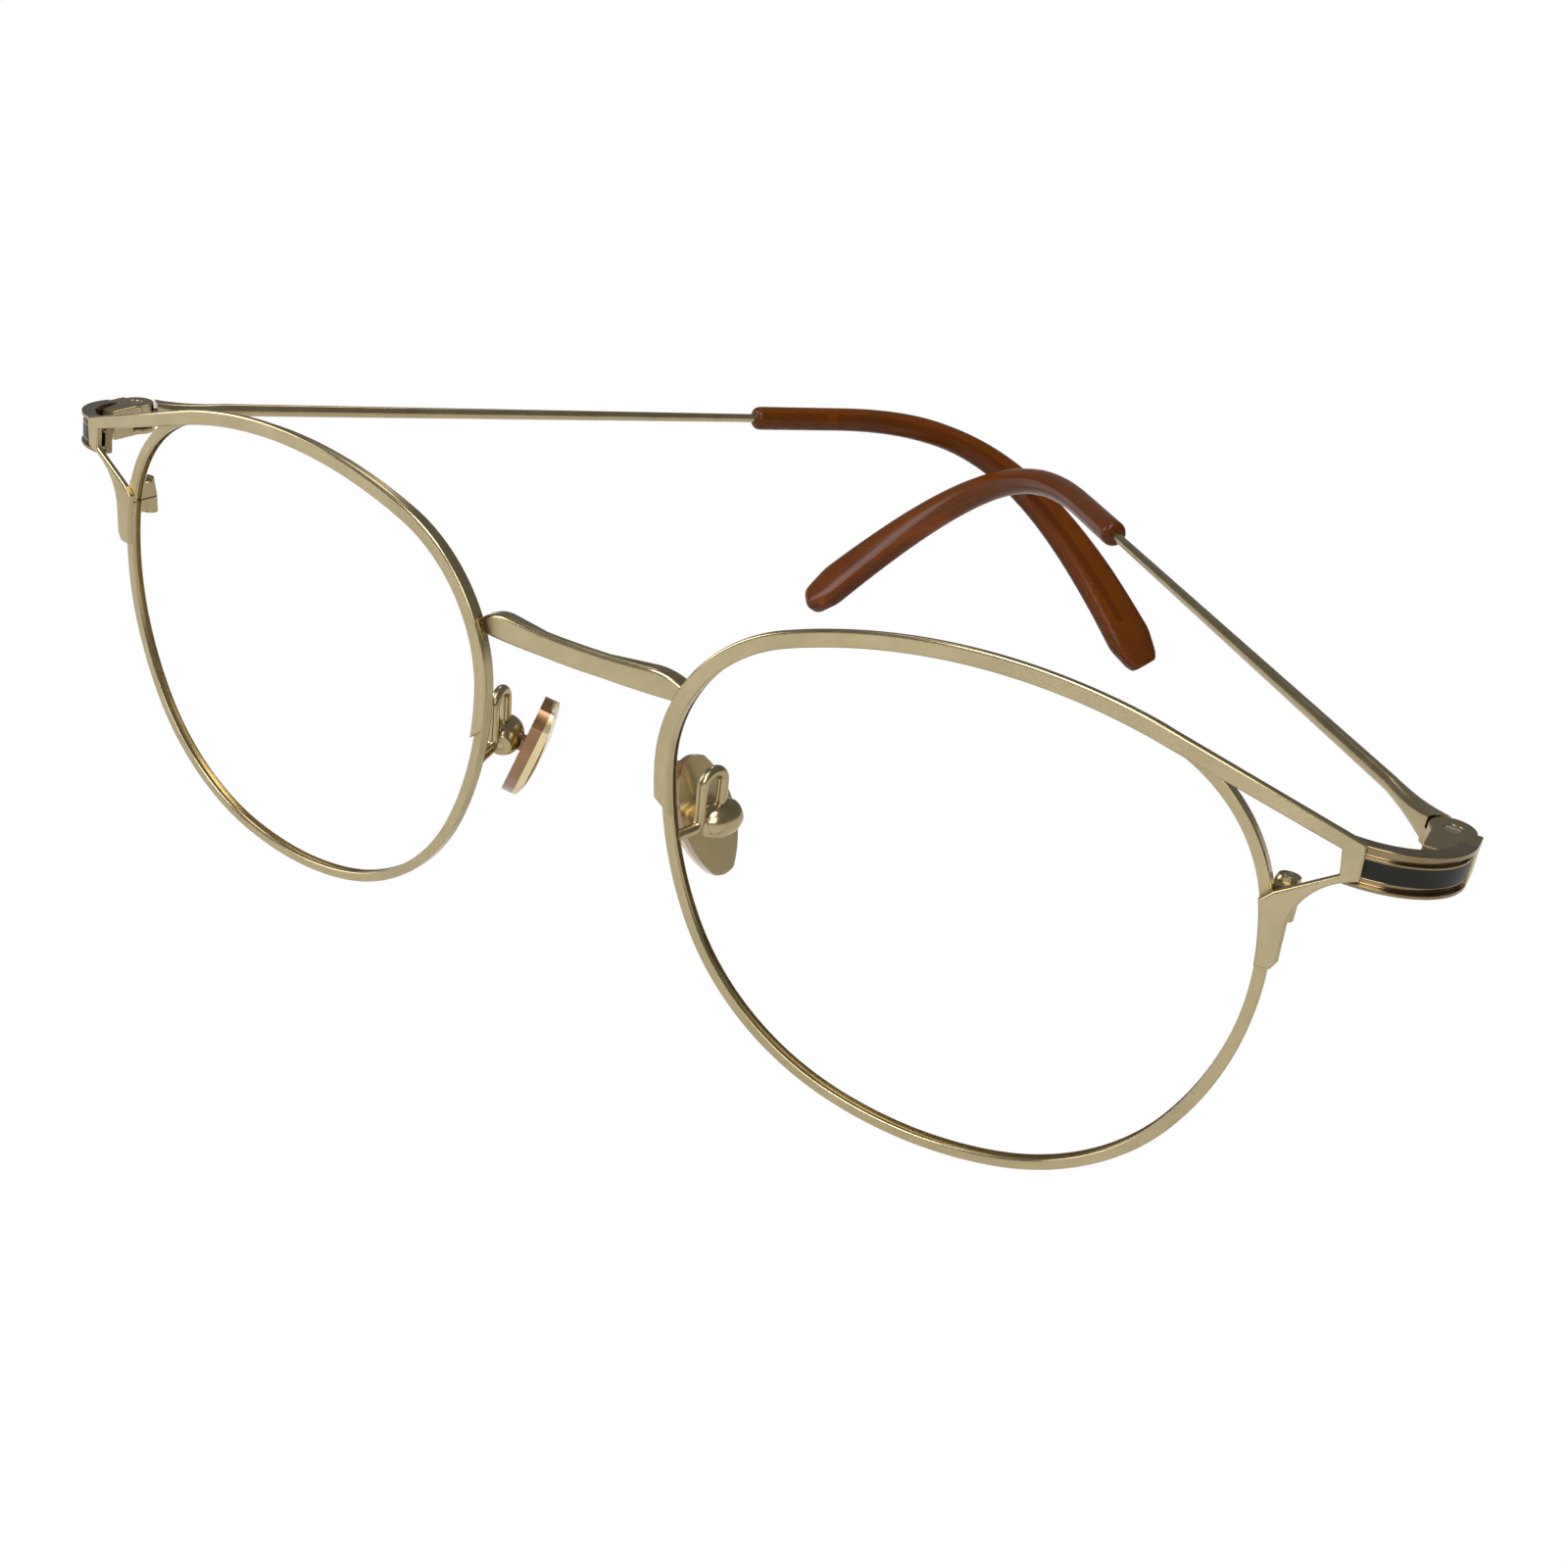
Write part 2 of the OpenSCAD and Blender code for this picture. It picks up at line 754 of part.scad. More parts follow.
// The bent wire that carries the pad, brazed to the back of the rim
module pad_arm() {
  foot_x = rim_x + (nose_edge(arm_up) - rim_w / 2) * cos(face_wrap);
  foot_y = front_y + (nose_edge(arm_up) - rim_w / 2) * sin(face_wrap) + rim_d - 0.1;
  barrel_at = pad_pos + barrel_out * [cos(pad_splay) * cos(pad_flare), -sin(pad_splay), cos(pad_splay) * sin(pad_flare)];
  reach = norm([barrel_at.x - foot_x, barrel_at.y - foot_y]);
  turn = atan2(foot_x - barrel_at.x, barrel_at.y - foot_y);
  rise = 4.6;
  low = rim_z + arm_up;
  stub = reach - 2 * arm_loop - arm_bend;
  color("goldenrod")
    difference() {
      translate([foot_x, foot_y, low])
        rotate(turn) {
          rotate([-90, 0, 0])
            cylinder(r = arm_r, h = stub);
          arm_bead([0, stub, 0]);
          translate([0, stub, arm_bend])
            rotate([0, 90, 0])
              rotate_extrude(angle = 90)
                translate([arm_bend, 0])
                  circle(r = arm_r);
          arm_bead([0, stub + arm_bend, arm_bend]);
          translate([0, stub + arm_bend, arm_bend])
            cylinder(r = arm_r, h = rise - arm_bend);
          arm_bead([0, stub + arm_bend, rise]);
          translate([0, stub + arm_bend + arm_loop, rise])
            rotate([0, -90, 0])
              rotate([0, 0, -90])
                rotate_extrude(angle = 180)
                  translate([arm_loop, 0])
                    circle(r = arm_r);
          arm_bead([0, reach, rise]);
          translate([0, reach, barrel_at.z - low])
            cylinder(r = arm_r, h = rise - barrel_at.z + low);
        }
      at_barrel()
        cylinder(r = barrel_r + eps, h = barrel_l + 2 * eps, center = true);
      at_rim()
        translate([0, 0, -rim_d])
          linear_extrude(rim_d)
            outline(rim_w + 1);
    }
}

// The slotted barrel at the end of the arm
module pad_barrel() {
  color("goldenrod")
    at_barrel()
      difference() {
        cylinder(r = barrel_r, h = barrel_l, center = true);
        cylinder(r = pad_pin_r + eps, h = 2 * barrel_l, center = true);
        cylinder(r = lug_r + 0.1, h = pad_slot, center = true);
        translate([-barrel_r - lug_r, -lug_r - 0.1, -pad_slot / 2])
          cube([barrel_r + lug_r, 2 * lug_r + 0.2, pad_slot]);
      }
}

// The pin on which the pad rocks
module pad_pin() {
  color("gold")
    at_barrel()
      cylinder(r = pad_pin_r, h = barrel_l, center = true);
}

// The pad with its lug
module nose_pad() {
  lug_t = pad_slot - 2 * clear;
  dome = 22;
  end_r = pad_w * 0.36;
  color("burlywood")
    difference() {
      union() {
        at_pad()
          intersection() {
            rotate([90, 0, 90])
              translate([0, 0, -pad_t / 2])
                linear_extrude(pad_t)
                  intersection() {
                    translate([pad_l - pad_w / 2 - 2, 0])
                      circle(r = pad_l - 2, $fn = 128);
                    translate([pad_w / 2 + 2 - pad_l, 0])
                      circle(r = pad_l - 2, $fn = 128);
                    union() {
                      square([2 * end_r, pad_l - 2 * end_r], center = true);
                      translate([-pad_w, end_r - pad_l / 2])
                        square([2 * pad_w, pad_l - 2 * end_r]);
                      translate([0, pad_l / 2 - end_r])
                        circle(r = end_r);
                      translate([0, end_r - pad_l / 2])
                        circle(r = end_r);
                    }
                  }
            translate([dome - pad_t / 2, 0, 0])
              sphere(r = dome, $fn = 128);
          }
        at_barrel() {
          cylinder(r = lug_r, h = lug_t, center = true);
          translate([-barrel_out + pad_t / 2 - 0.3, -0.7, -lug_t / 2])
            cube([barrel_out - pad_t / 2 + 0.3, 1.4, lug_t]);
        }
      }
      at_barrel()
        cylinder(r = pad_pin_r + clear, h = 2 * barrel_l, center = true);
    }
}

module other_side() {
  mirror([1, 0, 0])
    children();
}

module temple_right() {
  color("khaki")
    at_pin()
      rotate(fold_right)
        temple_shape();
}

module temple_left() {
  color("khaki")
    other_side()
      at_pin()
        rotate(fold_left)
          temple_shape();
}

module tip_right() {
  color("saddlebrown")
    at_pin()
      rotate(fold_right)
        tip_shape();
}

module tip_left() {
  color("saddlebrown")
    other_side()
      at_pin()
        rotate(fold_left)
          tip_shape();
}

bridge();
rim();  // rim_right
other_side() rim();  // rim_left
brow_plate();  // brow_plate_right
other_side() brow_plate();  // brow_plate_left
rim_lock_upper();  // rim_lock_upper_right
other_side() rim_lock_upper();  // rim_lock_upper_left
rim_lock_lower();  // rim_lock_lower_right
other_side() rim_lock_lower();  // rim_lock_lower_left
rim_lock_screw();  // rim_lock_screw_right
other_side() rim_lock_screw();  // rim_lock_screw_left
end_piece();  // end_piece_right
other_side() end_piece();  // end_piece_left
end_inlay();  // end_inlay_right
other_side() end_inlay();  // end_inlay_left
hinge_block();  // hinge_block_right
other_side() hinge_block();  // hinge_block_left
hinge_screw();  // hinge_screw_right
other_side() hinge_screw();  // hinge_screw_left
pad_arm();  // pad_arm_right
other_side() pad_arm();  // pad_arm_left
pad_barrel();  // pad_barrel_right
other_side() pad_barrel();  // pad_barrel_left
pad_pin();  // pad_pin_right
other_side() pad_pin();  // pad_pin_left
nose_pad();  // nose_pad_right
other_side() nose_pad();  // nose_pad_left
temple_right();
temple_left();
tip_right();  // temple_tip_right
tip_left();  // temple_tip_left
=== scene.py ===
import bpy, bmesh, json, math
from mathutils import Matrix, Vector


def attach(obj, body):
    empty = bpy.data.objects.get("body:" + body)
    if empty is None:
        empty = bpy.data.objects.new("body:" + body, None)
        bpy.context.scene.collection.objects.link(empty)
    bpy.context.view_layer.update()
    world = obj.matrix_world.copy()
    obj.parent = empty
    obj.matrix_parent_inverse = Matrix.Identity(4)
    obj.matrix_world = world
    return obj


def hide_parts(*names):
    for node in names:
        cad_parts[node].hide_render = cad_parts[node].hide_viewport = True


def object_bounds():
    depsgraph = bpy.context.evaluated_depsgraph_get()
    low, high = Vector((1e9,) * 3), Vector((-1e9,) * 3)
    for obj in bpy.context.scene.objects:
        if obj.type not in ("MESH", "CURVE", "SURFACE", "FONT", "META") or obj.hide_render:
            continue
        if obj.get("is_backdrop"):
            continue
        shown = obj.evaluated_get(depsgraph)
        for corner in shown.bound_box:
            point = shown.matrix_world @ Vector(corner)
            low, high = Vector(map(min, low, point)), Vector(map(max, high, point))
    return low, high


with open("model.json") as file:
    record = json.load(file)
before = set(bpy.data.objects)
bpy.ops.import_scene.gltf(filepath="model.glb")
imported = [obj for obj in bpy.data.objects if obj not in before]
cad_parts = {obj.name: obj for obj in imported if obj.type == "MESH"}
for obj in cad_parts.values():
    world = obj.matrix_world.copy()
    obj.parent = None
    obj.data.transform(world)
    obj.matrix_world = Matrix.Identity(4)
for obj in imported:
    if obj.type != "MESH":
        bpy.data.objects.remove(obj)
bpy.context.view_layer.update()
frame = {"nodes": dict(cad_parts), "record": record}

# Camera: above the front right corner, looking down and back across both rims. Its place, turn
# and focal length come from fitting the model to the photograph, in pixels of its 1600 a side.
photo_side = 1600
focal_pixels = 1775.8
middle_across, middle_down = 779.2, 777.8
place = Vector((0.076175, -0.16285, 0.093606))
across = Vector((0.850464, 0.51668, 0.098757))
down = Vector((0.313599, -0.347266, -0.883777))
ahead = Vector((-0.422335, 0.782591, -0.457367))
turn = Matrix((across, -down, -ahead)).transposed().to_4x4()
lens = bpy.data.cameras.new("camera")
lens.sensor_width = 36
lens.lens = lens.sensor_width * focal_pixels / photo_side
lens.shift_x = (photo_side / 2 - middle_across) / photo_side
lens.shift_y = (middle_down - photo_side / 2) / photo_side
lens.clip_start = 0.005
camera = bpy.data.objects.new("camera", lens)
camera.matrix_world = Matrix.Translation(place) @ turn
bpy.context.collection.objects.link(camera)
bpy.context.scene.camera = camera
bpy.context.scene.view_settings.view_transform = "Standard"


# Stage: a pale matt floor under a plain level of light all round, with soft lights above and
# beside. The camera sees the floor and the background as white by their colour.
class Term:
    # A socket of a node, which can be added to and multiplied
    def __init__(self, paint, socket):
        self.paint = paint
        self.socket = socket

    def maths(self, operation, other):
        return self.paint.node("ShaderNodeMath", operation=operation, i0=self, i1=other)

    def __add__(self, other):
        return self.maths("ADD", other)

    def __mul__(self, other):
        return self.maths("MULTIPLY", other)

    __radd__ = __add__
    __rmul__ = __mul__


class Paint:
    # The nodes of one material, or of the world
    def __init__(self, owner):
        owner.use_nodes = True
        self.owner = owner
        self.tree = owner.node_tree
        self.tree.nodes.clear()

    # A word is a setting of the node or one of its sockets, by its name or as i and its number
    def node(self, kind, pick=0, **words):
        made = self.tree.nodes.new(kind)
        for word, value in words.items():
            if hasattr(made, word):
                setattr(made, word, value)
                continue
            numbered = word[0] == "i" and word[1:].isdigit()
            socket = made.inputs[int(word[1:]) if numbered else word.replace("_", " ")]
            if isinstance(value, Term):
                self.tree.links.new(value.socket, socket)
            else:
                socket.default_value = value
        return Term(self, made.outputs[pick] if made.outputs else None)

    def grain(self, scale, detail=2.0):
        place = self.node("ShaderNodeTexCoord", 3)
        return self.node("ShaderNodeTexNoise", Vector=place, Scale=scale, Detail=detail)

    def mix(self, share, dark, light):
        return self.node("ShaderNodeMix", 2, data_type="RGBA", i0=share, i6=(*dark, 1), i7=(*light, 1))

    def bump(self, height, strength):
        return self.node("ShaderNodeBump", Height=height, Strength=strength, Distance=0.00003)

    def shine(self, **words):
        shader = self.node("ShaderNodeBsdfPrincipled", **words)
        self.node("ShaderNodeOutputMaterial", Surface=shader)
        return self.owner


def paint(name):
    return Paint(bpy.data.materials.new(name))


sky_level, floor_tone = 0.22, 0.74
floor_size, floor_drop = 1.5, 0.00005
studio = bpy.data.worlds.new("studio")
bpy.context.scene.world = studio
sky = Paint(studio)
level = sky.mix(sky.node("ShaderNodeLightPath"), [sky_level] * 3, (1, 1, 1))
sky.node("ShaderNodeOutputWorld", Surface=sky.node("ShaderNodeBackground", Color=level))

paper = paint("paper")
matt = paper.node("ShaderNodeBsdfDiffuse", Color=(floor_tone, floor_tone, floor_tone, 1))
white = paper.node("ShaderNodeEmission", Color=(1, 1, 1, 1), Strength=1.0)
both = paper.node("ShaderNodeMixShader", i0=paper.node("ShaderNodeLightPath"), i1=matt, i2=white)
paper.node("ShaderNodeOutputMaterial", Surface=both)
bm = bmesh.new()
bmesh.ops.create_grid(bm, x_segments=1, y_segments=1, size=floor_size)
floor_mesh = bpy.data.meshes.new("floor")
bm.to_mesh(floor_mesh)
bm.free()
floor_mesh.materials.append(paper.owner)
floor = bpy.data.objects.new("floor", floor_mesh)
floor.location = (0, 0, -floor_drop)
bpy.context.collection.objects.link(floor)
floor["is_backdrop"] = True

for name, at, size, power in (
    ("top_light", (0.0, -0.42, 0.75), 0.4, 6.0),
    ("left_light", (-0.8, -0.3, 0.35), 0.5, 4.0),
    ("front_light", (0.35, -0.8, 0.45), 0.45, 3.5),
    ("back_light", (-0.35, 0.4, 0.65), 0.2, 0.4),
):
    light = bpy.data.lights.new(name, "AREA")
    light.size = size
    light.energy = power
    lamp = bpy.data.objects.new(name, light)
    lamp.location = at
    lamp.rotation_mode = "QUATERNION"
    lamp.rotation_quaternion = (-Vector(at)).to_track_quat("-Z", "Y")
    bpy.context.collection.objects.link(lamp)

# Rims: each a drawn wire, plated in gold, with the lens groove in its inner side. It is bent
# along eight tangent arcs and sawn open at the temple side, where its closing block sits. The
# front is satin with a very fine grain, and the sides are polished. Sizes here are in mm.
sides = ((1, "right"), (-1, "left"))
joints = {joint["name"]: joint for joint in frame["record"]["behaviour"]["joints"]}
pin = Vector(joints["temple_hinge_right"]["pos_m"]) * 1000
# The rims' front face lies before the hinge pins, and the middle of the openings at a height
pin_behind = 11.6
front_y = pin.y - pin_behind
middle_z = 22.4
# Half an opening, half the gap between the two, and the turn of each rim round the face
half_wide, half_tall, half_gap = 24, 21.3, 10.1
wrap = math.radians(5.2)
rim_x = half_gap + half_wide * math.cos(wrap)
# Radii of an opening's four long arcs, and of the corners between them
brow_r, cheek_r, nose_r, temple_r = 47.7, 29, 33.6, 28.5
high_temple_r, high_nose_r, low_nose_r, low_temple_r = 14, 13.6, 22.4, 19.3
# Its top and bottom stand off its middle towards the temple, and its sides upwards
high_shift, low_shift = 1, 1.3
nose_lift, temple_lift = 6.3, 2.7
# Section of the wire, with the groove's sides counted back from its front face
wire_wide, wire_deep, wire_edge = 0.95, 1.05, 0.15
groove_deep, groove_front, groove_back, groove_flare = 0.33, -0.35, -0.85, 0.02
# Height of the saw cut, and half its width in degrees
saw_up, half_saw = 9.2, 0.12
# Degrees for one step along a radius of 1 mm
wire_step, plate_step = 22, 16

gold = paint("satin_gold")
slow = gold.grain(260)
satin_gold = gold.shine(
    Base_Color=gold.mix(slow, (0.36, 0.295, 0.165), (0.50, 0.415, 0.24)),
    Metallic=1.0,
    Roughness=0.3 + 0.12 * slow,
    Normal=gold.bump(gold.grain(9000, 3.0), 0.06),
)
gold = paint("polished_gold")
slow = gold.grain(300)
polished_gold = gold.shine(
    Base_Color=gold.mix(slow, (0.34, 0.265, 0.14), (0.48, 0.39, 0.22)),
    Metallic=1.0,
    Roughness=0.16 + 0.12 * slow,
)


# The way that an angle in degrees points, and the angle of a way
def direction(angle):
    return Vector((math.cos(math.radians(angle)), math.sin(math.radians(angle))))


def angle_of(way):
    return math.degrees(math.atan2(way.y, way.x))


# The arc that rounds one corner of the opening, between a brow or cheek arc and a nose or temple
# arc, measured from where the lines through their extreme points cross. It gives the corner's
# centre and the angles at which it meets the two arcs.
def corner(out, up, long_r, tall_r, r):
    long_at, tall_at = Vector((0, up - long_r)), Vector((out - tall_r, 0))
    span = tall_at - long_at
    near, far = long_r - r, tall_r - r
    run = (span.length_squared + near**2 - far**2) / (2 * span.length)
    foot = long_at + span.normalized() * run
    aside = Vector((-span.y, span.x)).normalized() * math.sqrt(near**2 - run**2)
    centre = max(foot + aside, foot - aside, key=sum)
    return centre, angle_of(centre - long_at), angle_of(centre - tall_at)


high_temple = corner(half_wide - high_shift, half_tall - temple_lift, brow_r, temple_r, high_temple_r)
high_nose = corner(half_wide + high_shift, half_tall - nose_lift, brow_r, nose_r, high_nose_r)
low_nose = corner(half_wide + low_shift, half_tall + nose_lift, cheek_r, nose_r, low_nose_r)
low_temple = corner(half_wide - low_shift, half_tall + temple_lift, cheek_r, temple_r, low_temple_r)
# The opening's arcs, from the temple side over the brow: centre, radius, first and last angle
arcs = [
    (Vector((half_wide - temple_r, temple_lift)), temple_r, -low_temple[2], high_temple[2]),
    (Vector((high_shift, temple_lift)) + high_temple[0], high_temple_r, high_temple[2], high_temple[1]),
    (Vector((high_shift, half_tall - brow_r)), brow_r, high_temple[1], 180 - high_nose[1]),
    (
        Vector((high_shift - high_nose[0].x, nose_lift + high_nose[0].y)),
        high_nose_r,
        180 - high_nose[1],
        180 - high_nose[2],
    ),
    (Vector((nose_r - half_wide, nose_lift)), nose_r, 180 - high_nose[2], 180 + low_nose[2]),
    (Vector((low_shift, nose_lift)) - low_nose[0], low_nose_r, 180 + low_nose[2], 180 + low_nose[1]),
    (Vector((low_shift, cheek_r - half_tall)), cheek_r, 180 + low_nose[1], 360 - low_temple[1]),
    (
        Vector((low_shift + low_temple[0].x, temple_lift - low_temple[0].y)),
        low_temple_r,
        360 - low_temple[1],
        360 - low_temple[2],
    ),
]
temple_arc, high_temple_arc, nose_arc = 0, 1, 4


# A point at an angle on one arc, moved outwards, in the rim's own plane
def on_arc(arc, angle, out):
    centre, r = arcs[arc][:2]
    return centre + (r + out) * direction(angle)


# Angle on the temple side of the opening at a height above its middle
def temple_angle(up):
    return math.degrees(math.asin((up - temple_lift) / temple_r))


# Even steps from the first value up to the last, which is left out
def steps(first, last, count):
    return [first + (last - first) * i / count for i in range(count)]


# From a rim's own plane to the frame: p to the temple and up, z to the front
def at_rim(side, p, z):
    x = rim_x + p.x * math.cos(wrap) + z * math.sin(wrap)
    return Vector((side * x, front_y + p.x * math.sin(wrap) - z * math.cos(wrap), middle_z + p.y))


# A closed line through points, as vertices and edges
def closed_line(bm, points):
    row = [bm.verts.new(p) for p in points]
    return row, [bm.edges.new(pair) for pair in zip(row, row[1:] + row[:1])]


# The first ring of points is extruded from ring to ring, and the two ends are filled
def loft(rings):
    bm = bmesh.new()
    row, start = closed_line(bm, rings[0])
    end = start
    for ring in rings[1:]:
        grown = bmesh.ops.extrude_edge_only(bm, edges=end)["geom"]
        end = [e for e in grown if isinstance(e, bmesh.types.BMEdge) and e.is_boundary]
        fresh = {v for v in grown if isinstance(v, bmesh.types.BMVert)}
        row = [next(e.other_vert(v) for e in v.link_edges if e.other_vert(v) in fresh) for v in row]
        for v, p in zip(row, ring):
            v.co = p
    bmesh.ops.holes_fill(bm, edges=start + end, sides=0)
    return bm


# A finished bmesh in mm becomes a piece: it rides on its body and stands for its CAD nodes.
# Faces that look forwards get the front finish. An edge is shaded smooth if it
# bends slightly, or softly between faces of about one size, and never beside a sliver.
def piece(name, bm, body, nodes, finish, front_finish=None, facing=0.85):
    slight_bend, soft_bend = 0.08, 0.6
    alike, sliver = 6, 400
    bmesh.ops.scale(bm, vec=(0.001, 0.001, 0.001), verts=bm.verts)
    bmesh.ops.recalc_face_normals(bm, faces=bm.faces)
    bm.normal_update()
    for face in bm.faces:
        face.smooth = True
        face.material_index = 1 if front_finish and -face.normal.y > facing else 0
    for edge in bm.edges:
        areas = sorted(face.calc_area() for face in edge.link_faces)
        bend = edge.calc_face_angle(0) if len(areas) == 2 else math.pi
        soft = bend < soft_bend and areas[-1] < alike * areas[0]
        edge.smooth = areas[-1] < sliver * areas[0] and (bend < slight_bend or soft)
    mesh = bpy.data.meshes.new(name)
    bm.to_mesh(mesh)
    bm.free()
    made = bpy.data.objects.new(name, mesh)
    bpy.context.collection.objects.link(made)
    mesh.materials.append(finish)
    if front_finish:
        mesh.materials.append(front_finish)
    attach(made, body)
    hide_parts(*nodes)
    return made


# A quarter round on the wire's section, clockwise from an angle
def quarter(out, z, first):
    angles = [first - 22.5 * i for i in range(5)]
    return [Vector((out, z)) + wire_edge * direction(angle) for angle in angles]


section = quarter(wire_wide - wire_edge, -wire_edge, 90)
section += quarter(wire_wide - wire_edge, wire_edge - wire_deep, 0)
section += quarter(wire_edge, wire_edge - wire_deep, -90)
section += [(0, groove_back - groove_flare), (groove_deep, groove_back)]
section += [(groove_deep, groove_front), (0, groove_front + groove_flare)]
section += quarter(wire_edge, -wire_edge, 180)

# The wire runs from one side of the saw cut right round to the other
saw = temple_angle(saw_up)
first, last = arcs[temple_arc][2:]
turns = [(temple_arc, angle) for angle in steps(saw + half_saw, last, 8)]
for arc, (centre, r, start, stop) in list(enumerate(arcs))[1:]:
    turns += [(arc, angle) for angle in steps(start, stop, max(6, int((stop - start) * r / wire_step)))]
turns += [(temple_arc, angle) for angle in steps(first, saw - half_saw, 24) + [saw - half_saw]]
for side, word in sides:
    rings = [[at_rim(side, on_arc(arc, angle, out), z) for out, z in section] for arc, angle in turns]
    piece(f"rim_wire_{word}", loft(rings), "front", [f"rim_{word}"], polished_gold, satin_gold)

# Brow plates: each cut from satin gold sheet and soldered to the front of its rim. It follows
# the rim from the nose, leaves it as a straight bar over a four-sided window, and comes back
# down to the rim as a strut with a hollow outer edge. Its front edges are rounded.
plate_out, plate_thick = 1.4, 0.55
front_round, back_round = 0.22, 0.08
# The bar leaves the rim at an angle of the corner arc and falls in a straight line
bar_angle, bar_inside = 73.5, 0.15
bar_slope = math.tan(math.radians(16.5))
# Beside the nose the plate ends at a height, cut off at an angle
nose_up, nose_cut = 1, 41
# The outer end, the hollow under it, and the strut's foot on the rim
end_x, knee = 29.1, Vector((29.25, 13.6))
hollow, hollow_r, hollow_turns = Vector((30.65, 8.5)), 5.25, range(114, 179, 4)
foot_up, foot_corner, foot_side = 4.7, Vector((25.1, 4.8)), Vector((25.5, 5.6))
# The window: its corner on the rim, how deep its lower edge cuts in there, and its outer side
window_up, window_foot, window_deep = 10.2, 10.95, 0.6
window_low, window_x = Vector((27.85, 13.65)), 27.55
# Points this near to the next one or to a corner are left out, in mm or in degrees
too_near, near_corner = 0.2, 0.5
foot_clear, nose_clear = 1, 0.6

gold = paint("plate_gold")
slow = gold.grain(260)
plate_gold = gold.shine(
    Base_Color=gold.mix(slow, (0.36, 0.295, 0.165), (0.53, 0.44, 0.265)),
    Metallic=1.0,
    Roughness=0.32 + 0.1 * slow,
    Normal=gold.bump(gold.grain(7000, 3.0), 0.07),
)


# Points along the opening between two angles, moved outwards, a little over 1/4 mm apart
def along(first, last, out):
    found = []
    for arc, (centre, r, start, stop) in enumerate(arcs):
        start, stop = max(start, first), min(stop, last)
        if stop > start:
            count = max(2, int((stop - start) * r / plate_step))
            found += [on_arc(arc, angle, out) for angle in steps(start, stop, count)]
    return found


# A point at a given x on the bar's top or bottom line, which falls from where it starts
def on_bar(start, x):
    return Vector((x, start.y - (x - start.x) * bar_slope))


bar_top = on_arc(high_temple_arc, bar_angle, plate_out)
bar_low = on_arc(high_temple_arc, bar_angle, bar_inside)
nose_angle = 180 + math.degrees(math.asin((nose_lift - nose_up) / nose_r))
nose_in = on_arc(nose_arc, nose_angle, 0)
nose_out = nose_in.copy()
while (nose_out - arcs[nose_arc][0]).length < nose_r + plate_out:
    nose_out += 0.01 * direction(180 - nose_cut)
brow_line = along(bar_angle, angle_of(nose_out - arcs[nose_arc][0]) % 360, plate_out)[::-1]
outline = [nose_out]
outline += [p for p in brow_line if min((p - nose_out).length, (p - bar_top).length) > near_corner]
outline += [bar_top, on_bar(bar_top, end_x), knee]
outline += [hollow + hollow_r * direction(angle) for angle in hollow_turns]
foot_angle = temple_angle(foot_up)
outline += [foot_side, foot_corner, on_arc(temple_arc, foot_angle, 0)]
rim_edge = arcs[temple_arc][0].x + math.sqrt(temple_r**2 - (window_up - temple_lift) ** 2)
window_corner = Vector((rim_edge + wire_wide, window_foot))
window_in = on_arc(high_temple_arc, high_temple[2], -window_deep)
foot_line = [window_corner.lerp(window_in, i / 200) for i in range(201)]
corner_centre = arcs[high_temple_arc][0]
meet = next(p for p in foot_line if (p - corner_centre).length < high_temple_r)
outline += along(foot_angle + foot_clear, angle_of(meet - corner_centre) - foot_clear, 0) + [meet]
outline += [window_corner, window_low, on_bar(bar_low, window_x)]
outline += along(bar_angle, nose_angle - nose_clear, 0) + [nose_in]
outline = [p for p, q in zip(outline, outline[1:] + outline[:1]) if (p - q).length > too_near]
for side, word in sides:
    bm = loft([[at_rim(side, p, z) for p in outline] for z in (0, plate_thick)])
    bmesh.ops.recalc_face_normals(bm, faces=bm.faces)
    # The front face and then the back one, which have far more corners than the sides
    flats = sorted((face for face in bm.faces if len(face.verts) > 8), key=lambda face: face.normal.y)
    for face, width in zip(flats, (front_round, back_round)):
        edges = list(face.edges)
        bmesh.ops.bevel(
            bm, geom=edges, offset=width, segments=5, profile=0.5, affect="EDGES", material=-1
        )
    node = f"brow_plate_{word}"
    piece(f"brow_trim_{word}", bm, "front", [node], polished_gold, plate_gold, facing=0.97)

# Bridge: one solid gold bar, bowed forwards and soldered to both rims. It is deeper towards its
# ends, and its top runs level and then turns down where it meets each rim.

# Half its length, and how far from its middle its depth grows and its top falls
half_bar, straight, level_top = 10.4, 3.2, 7.2
# Radius of the bow, and how far its middle stands before the rims
bow_r, bow_ahead = 51.5, 2.7
# Depth in the middle, what the ends gain, and the fall of the top at the ends
bar_deep, end_deeper, top_fall = 1.0, 0.55, 1.1
# Heights of its underside and top, and how far each spreads at the ends
bar_low_z, bar_high_z, end_lower, end_higher = 33.45, 35.55, 0.25, 0.15
bar_round, half_rings = 0.3, 26


# Every edge sharper than an angle in radians is rounded
def soften(bm, width, segments, angle=0.5):
    bm.normal_update()
    sharp = [e for e in bm.edges if len(e.link_faces) == 2 and e.calc_face_angle(0) > angle]
    bmesh.ops.bevel(
        bm,
        geom=sharp,
        offset=width,
        segments=segments,
        profile=0.5,
        affect="EDGES",
        material=-1,
        clamp_overlap=True,
    )


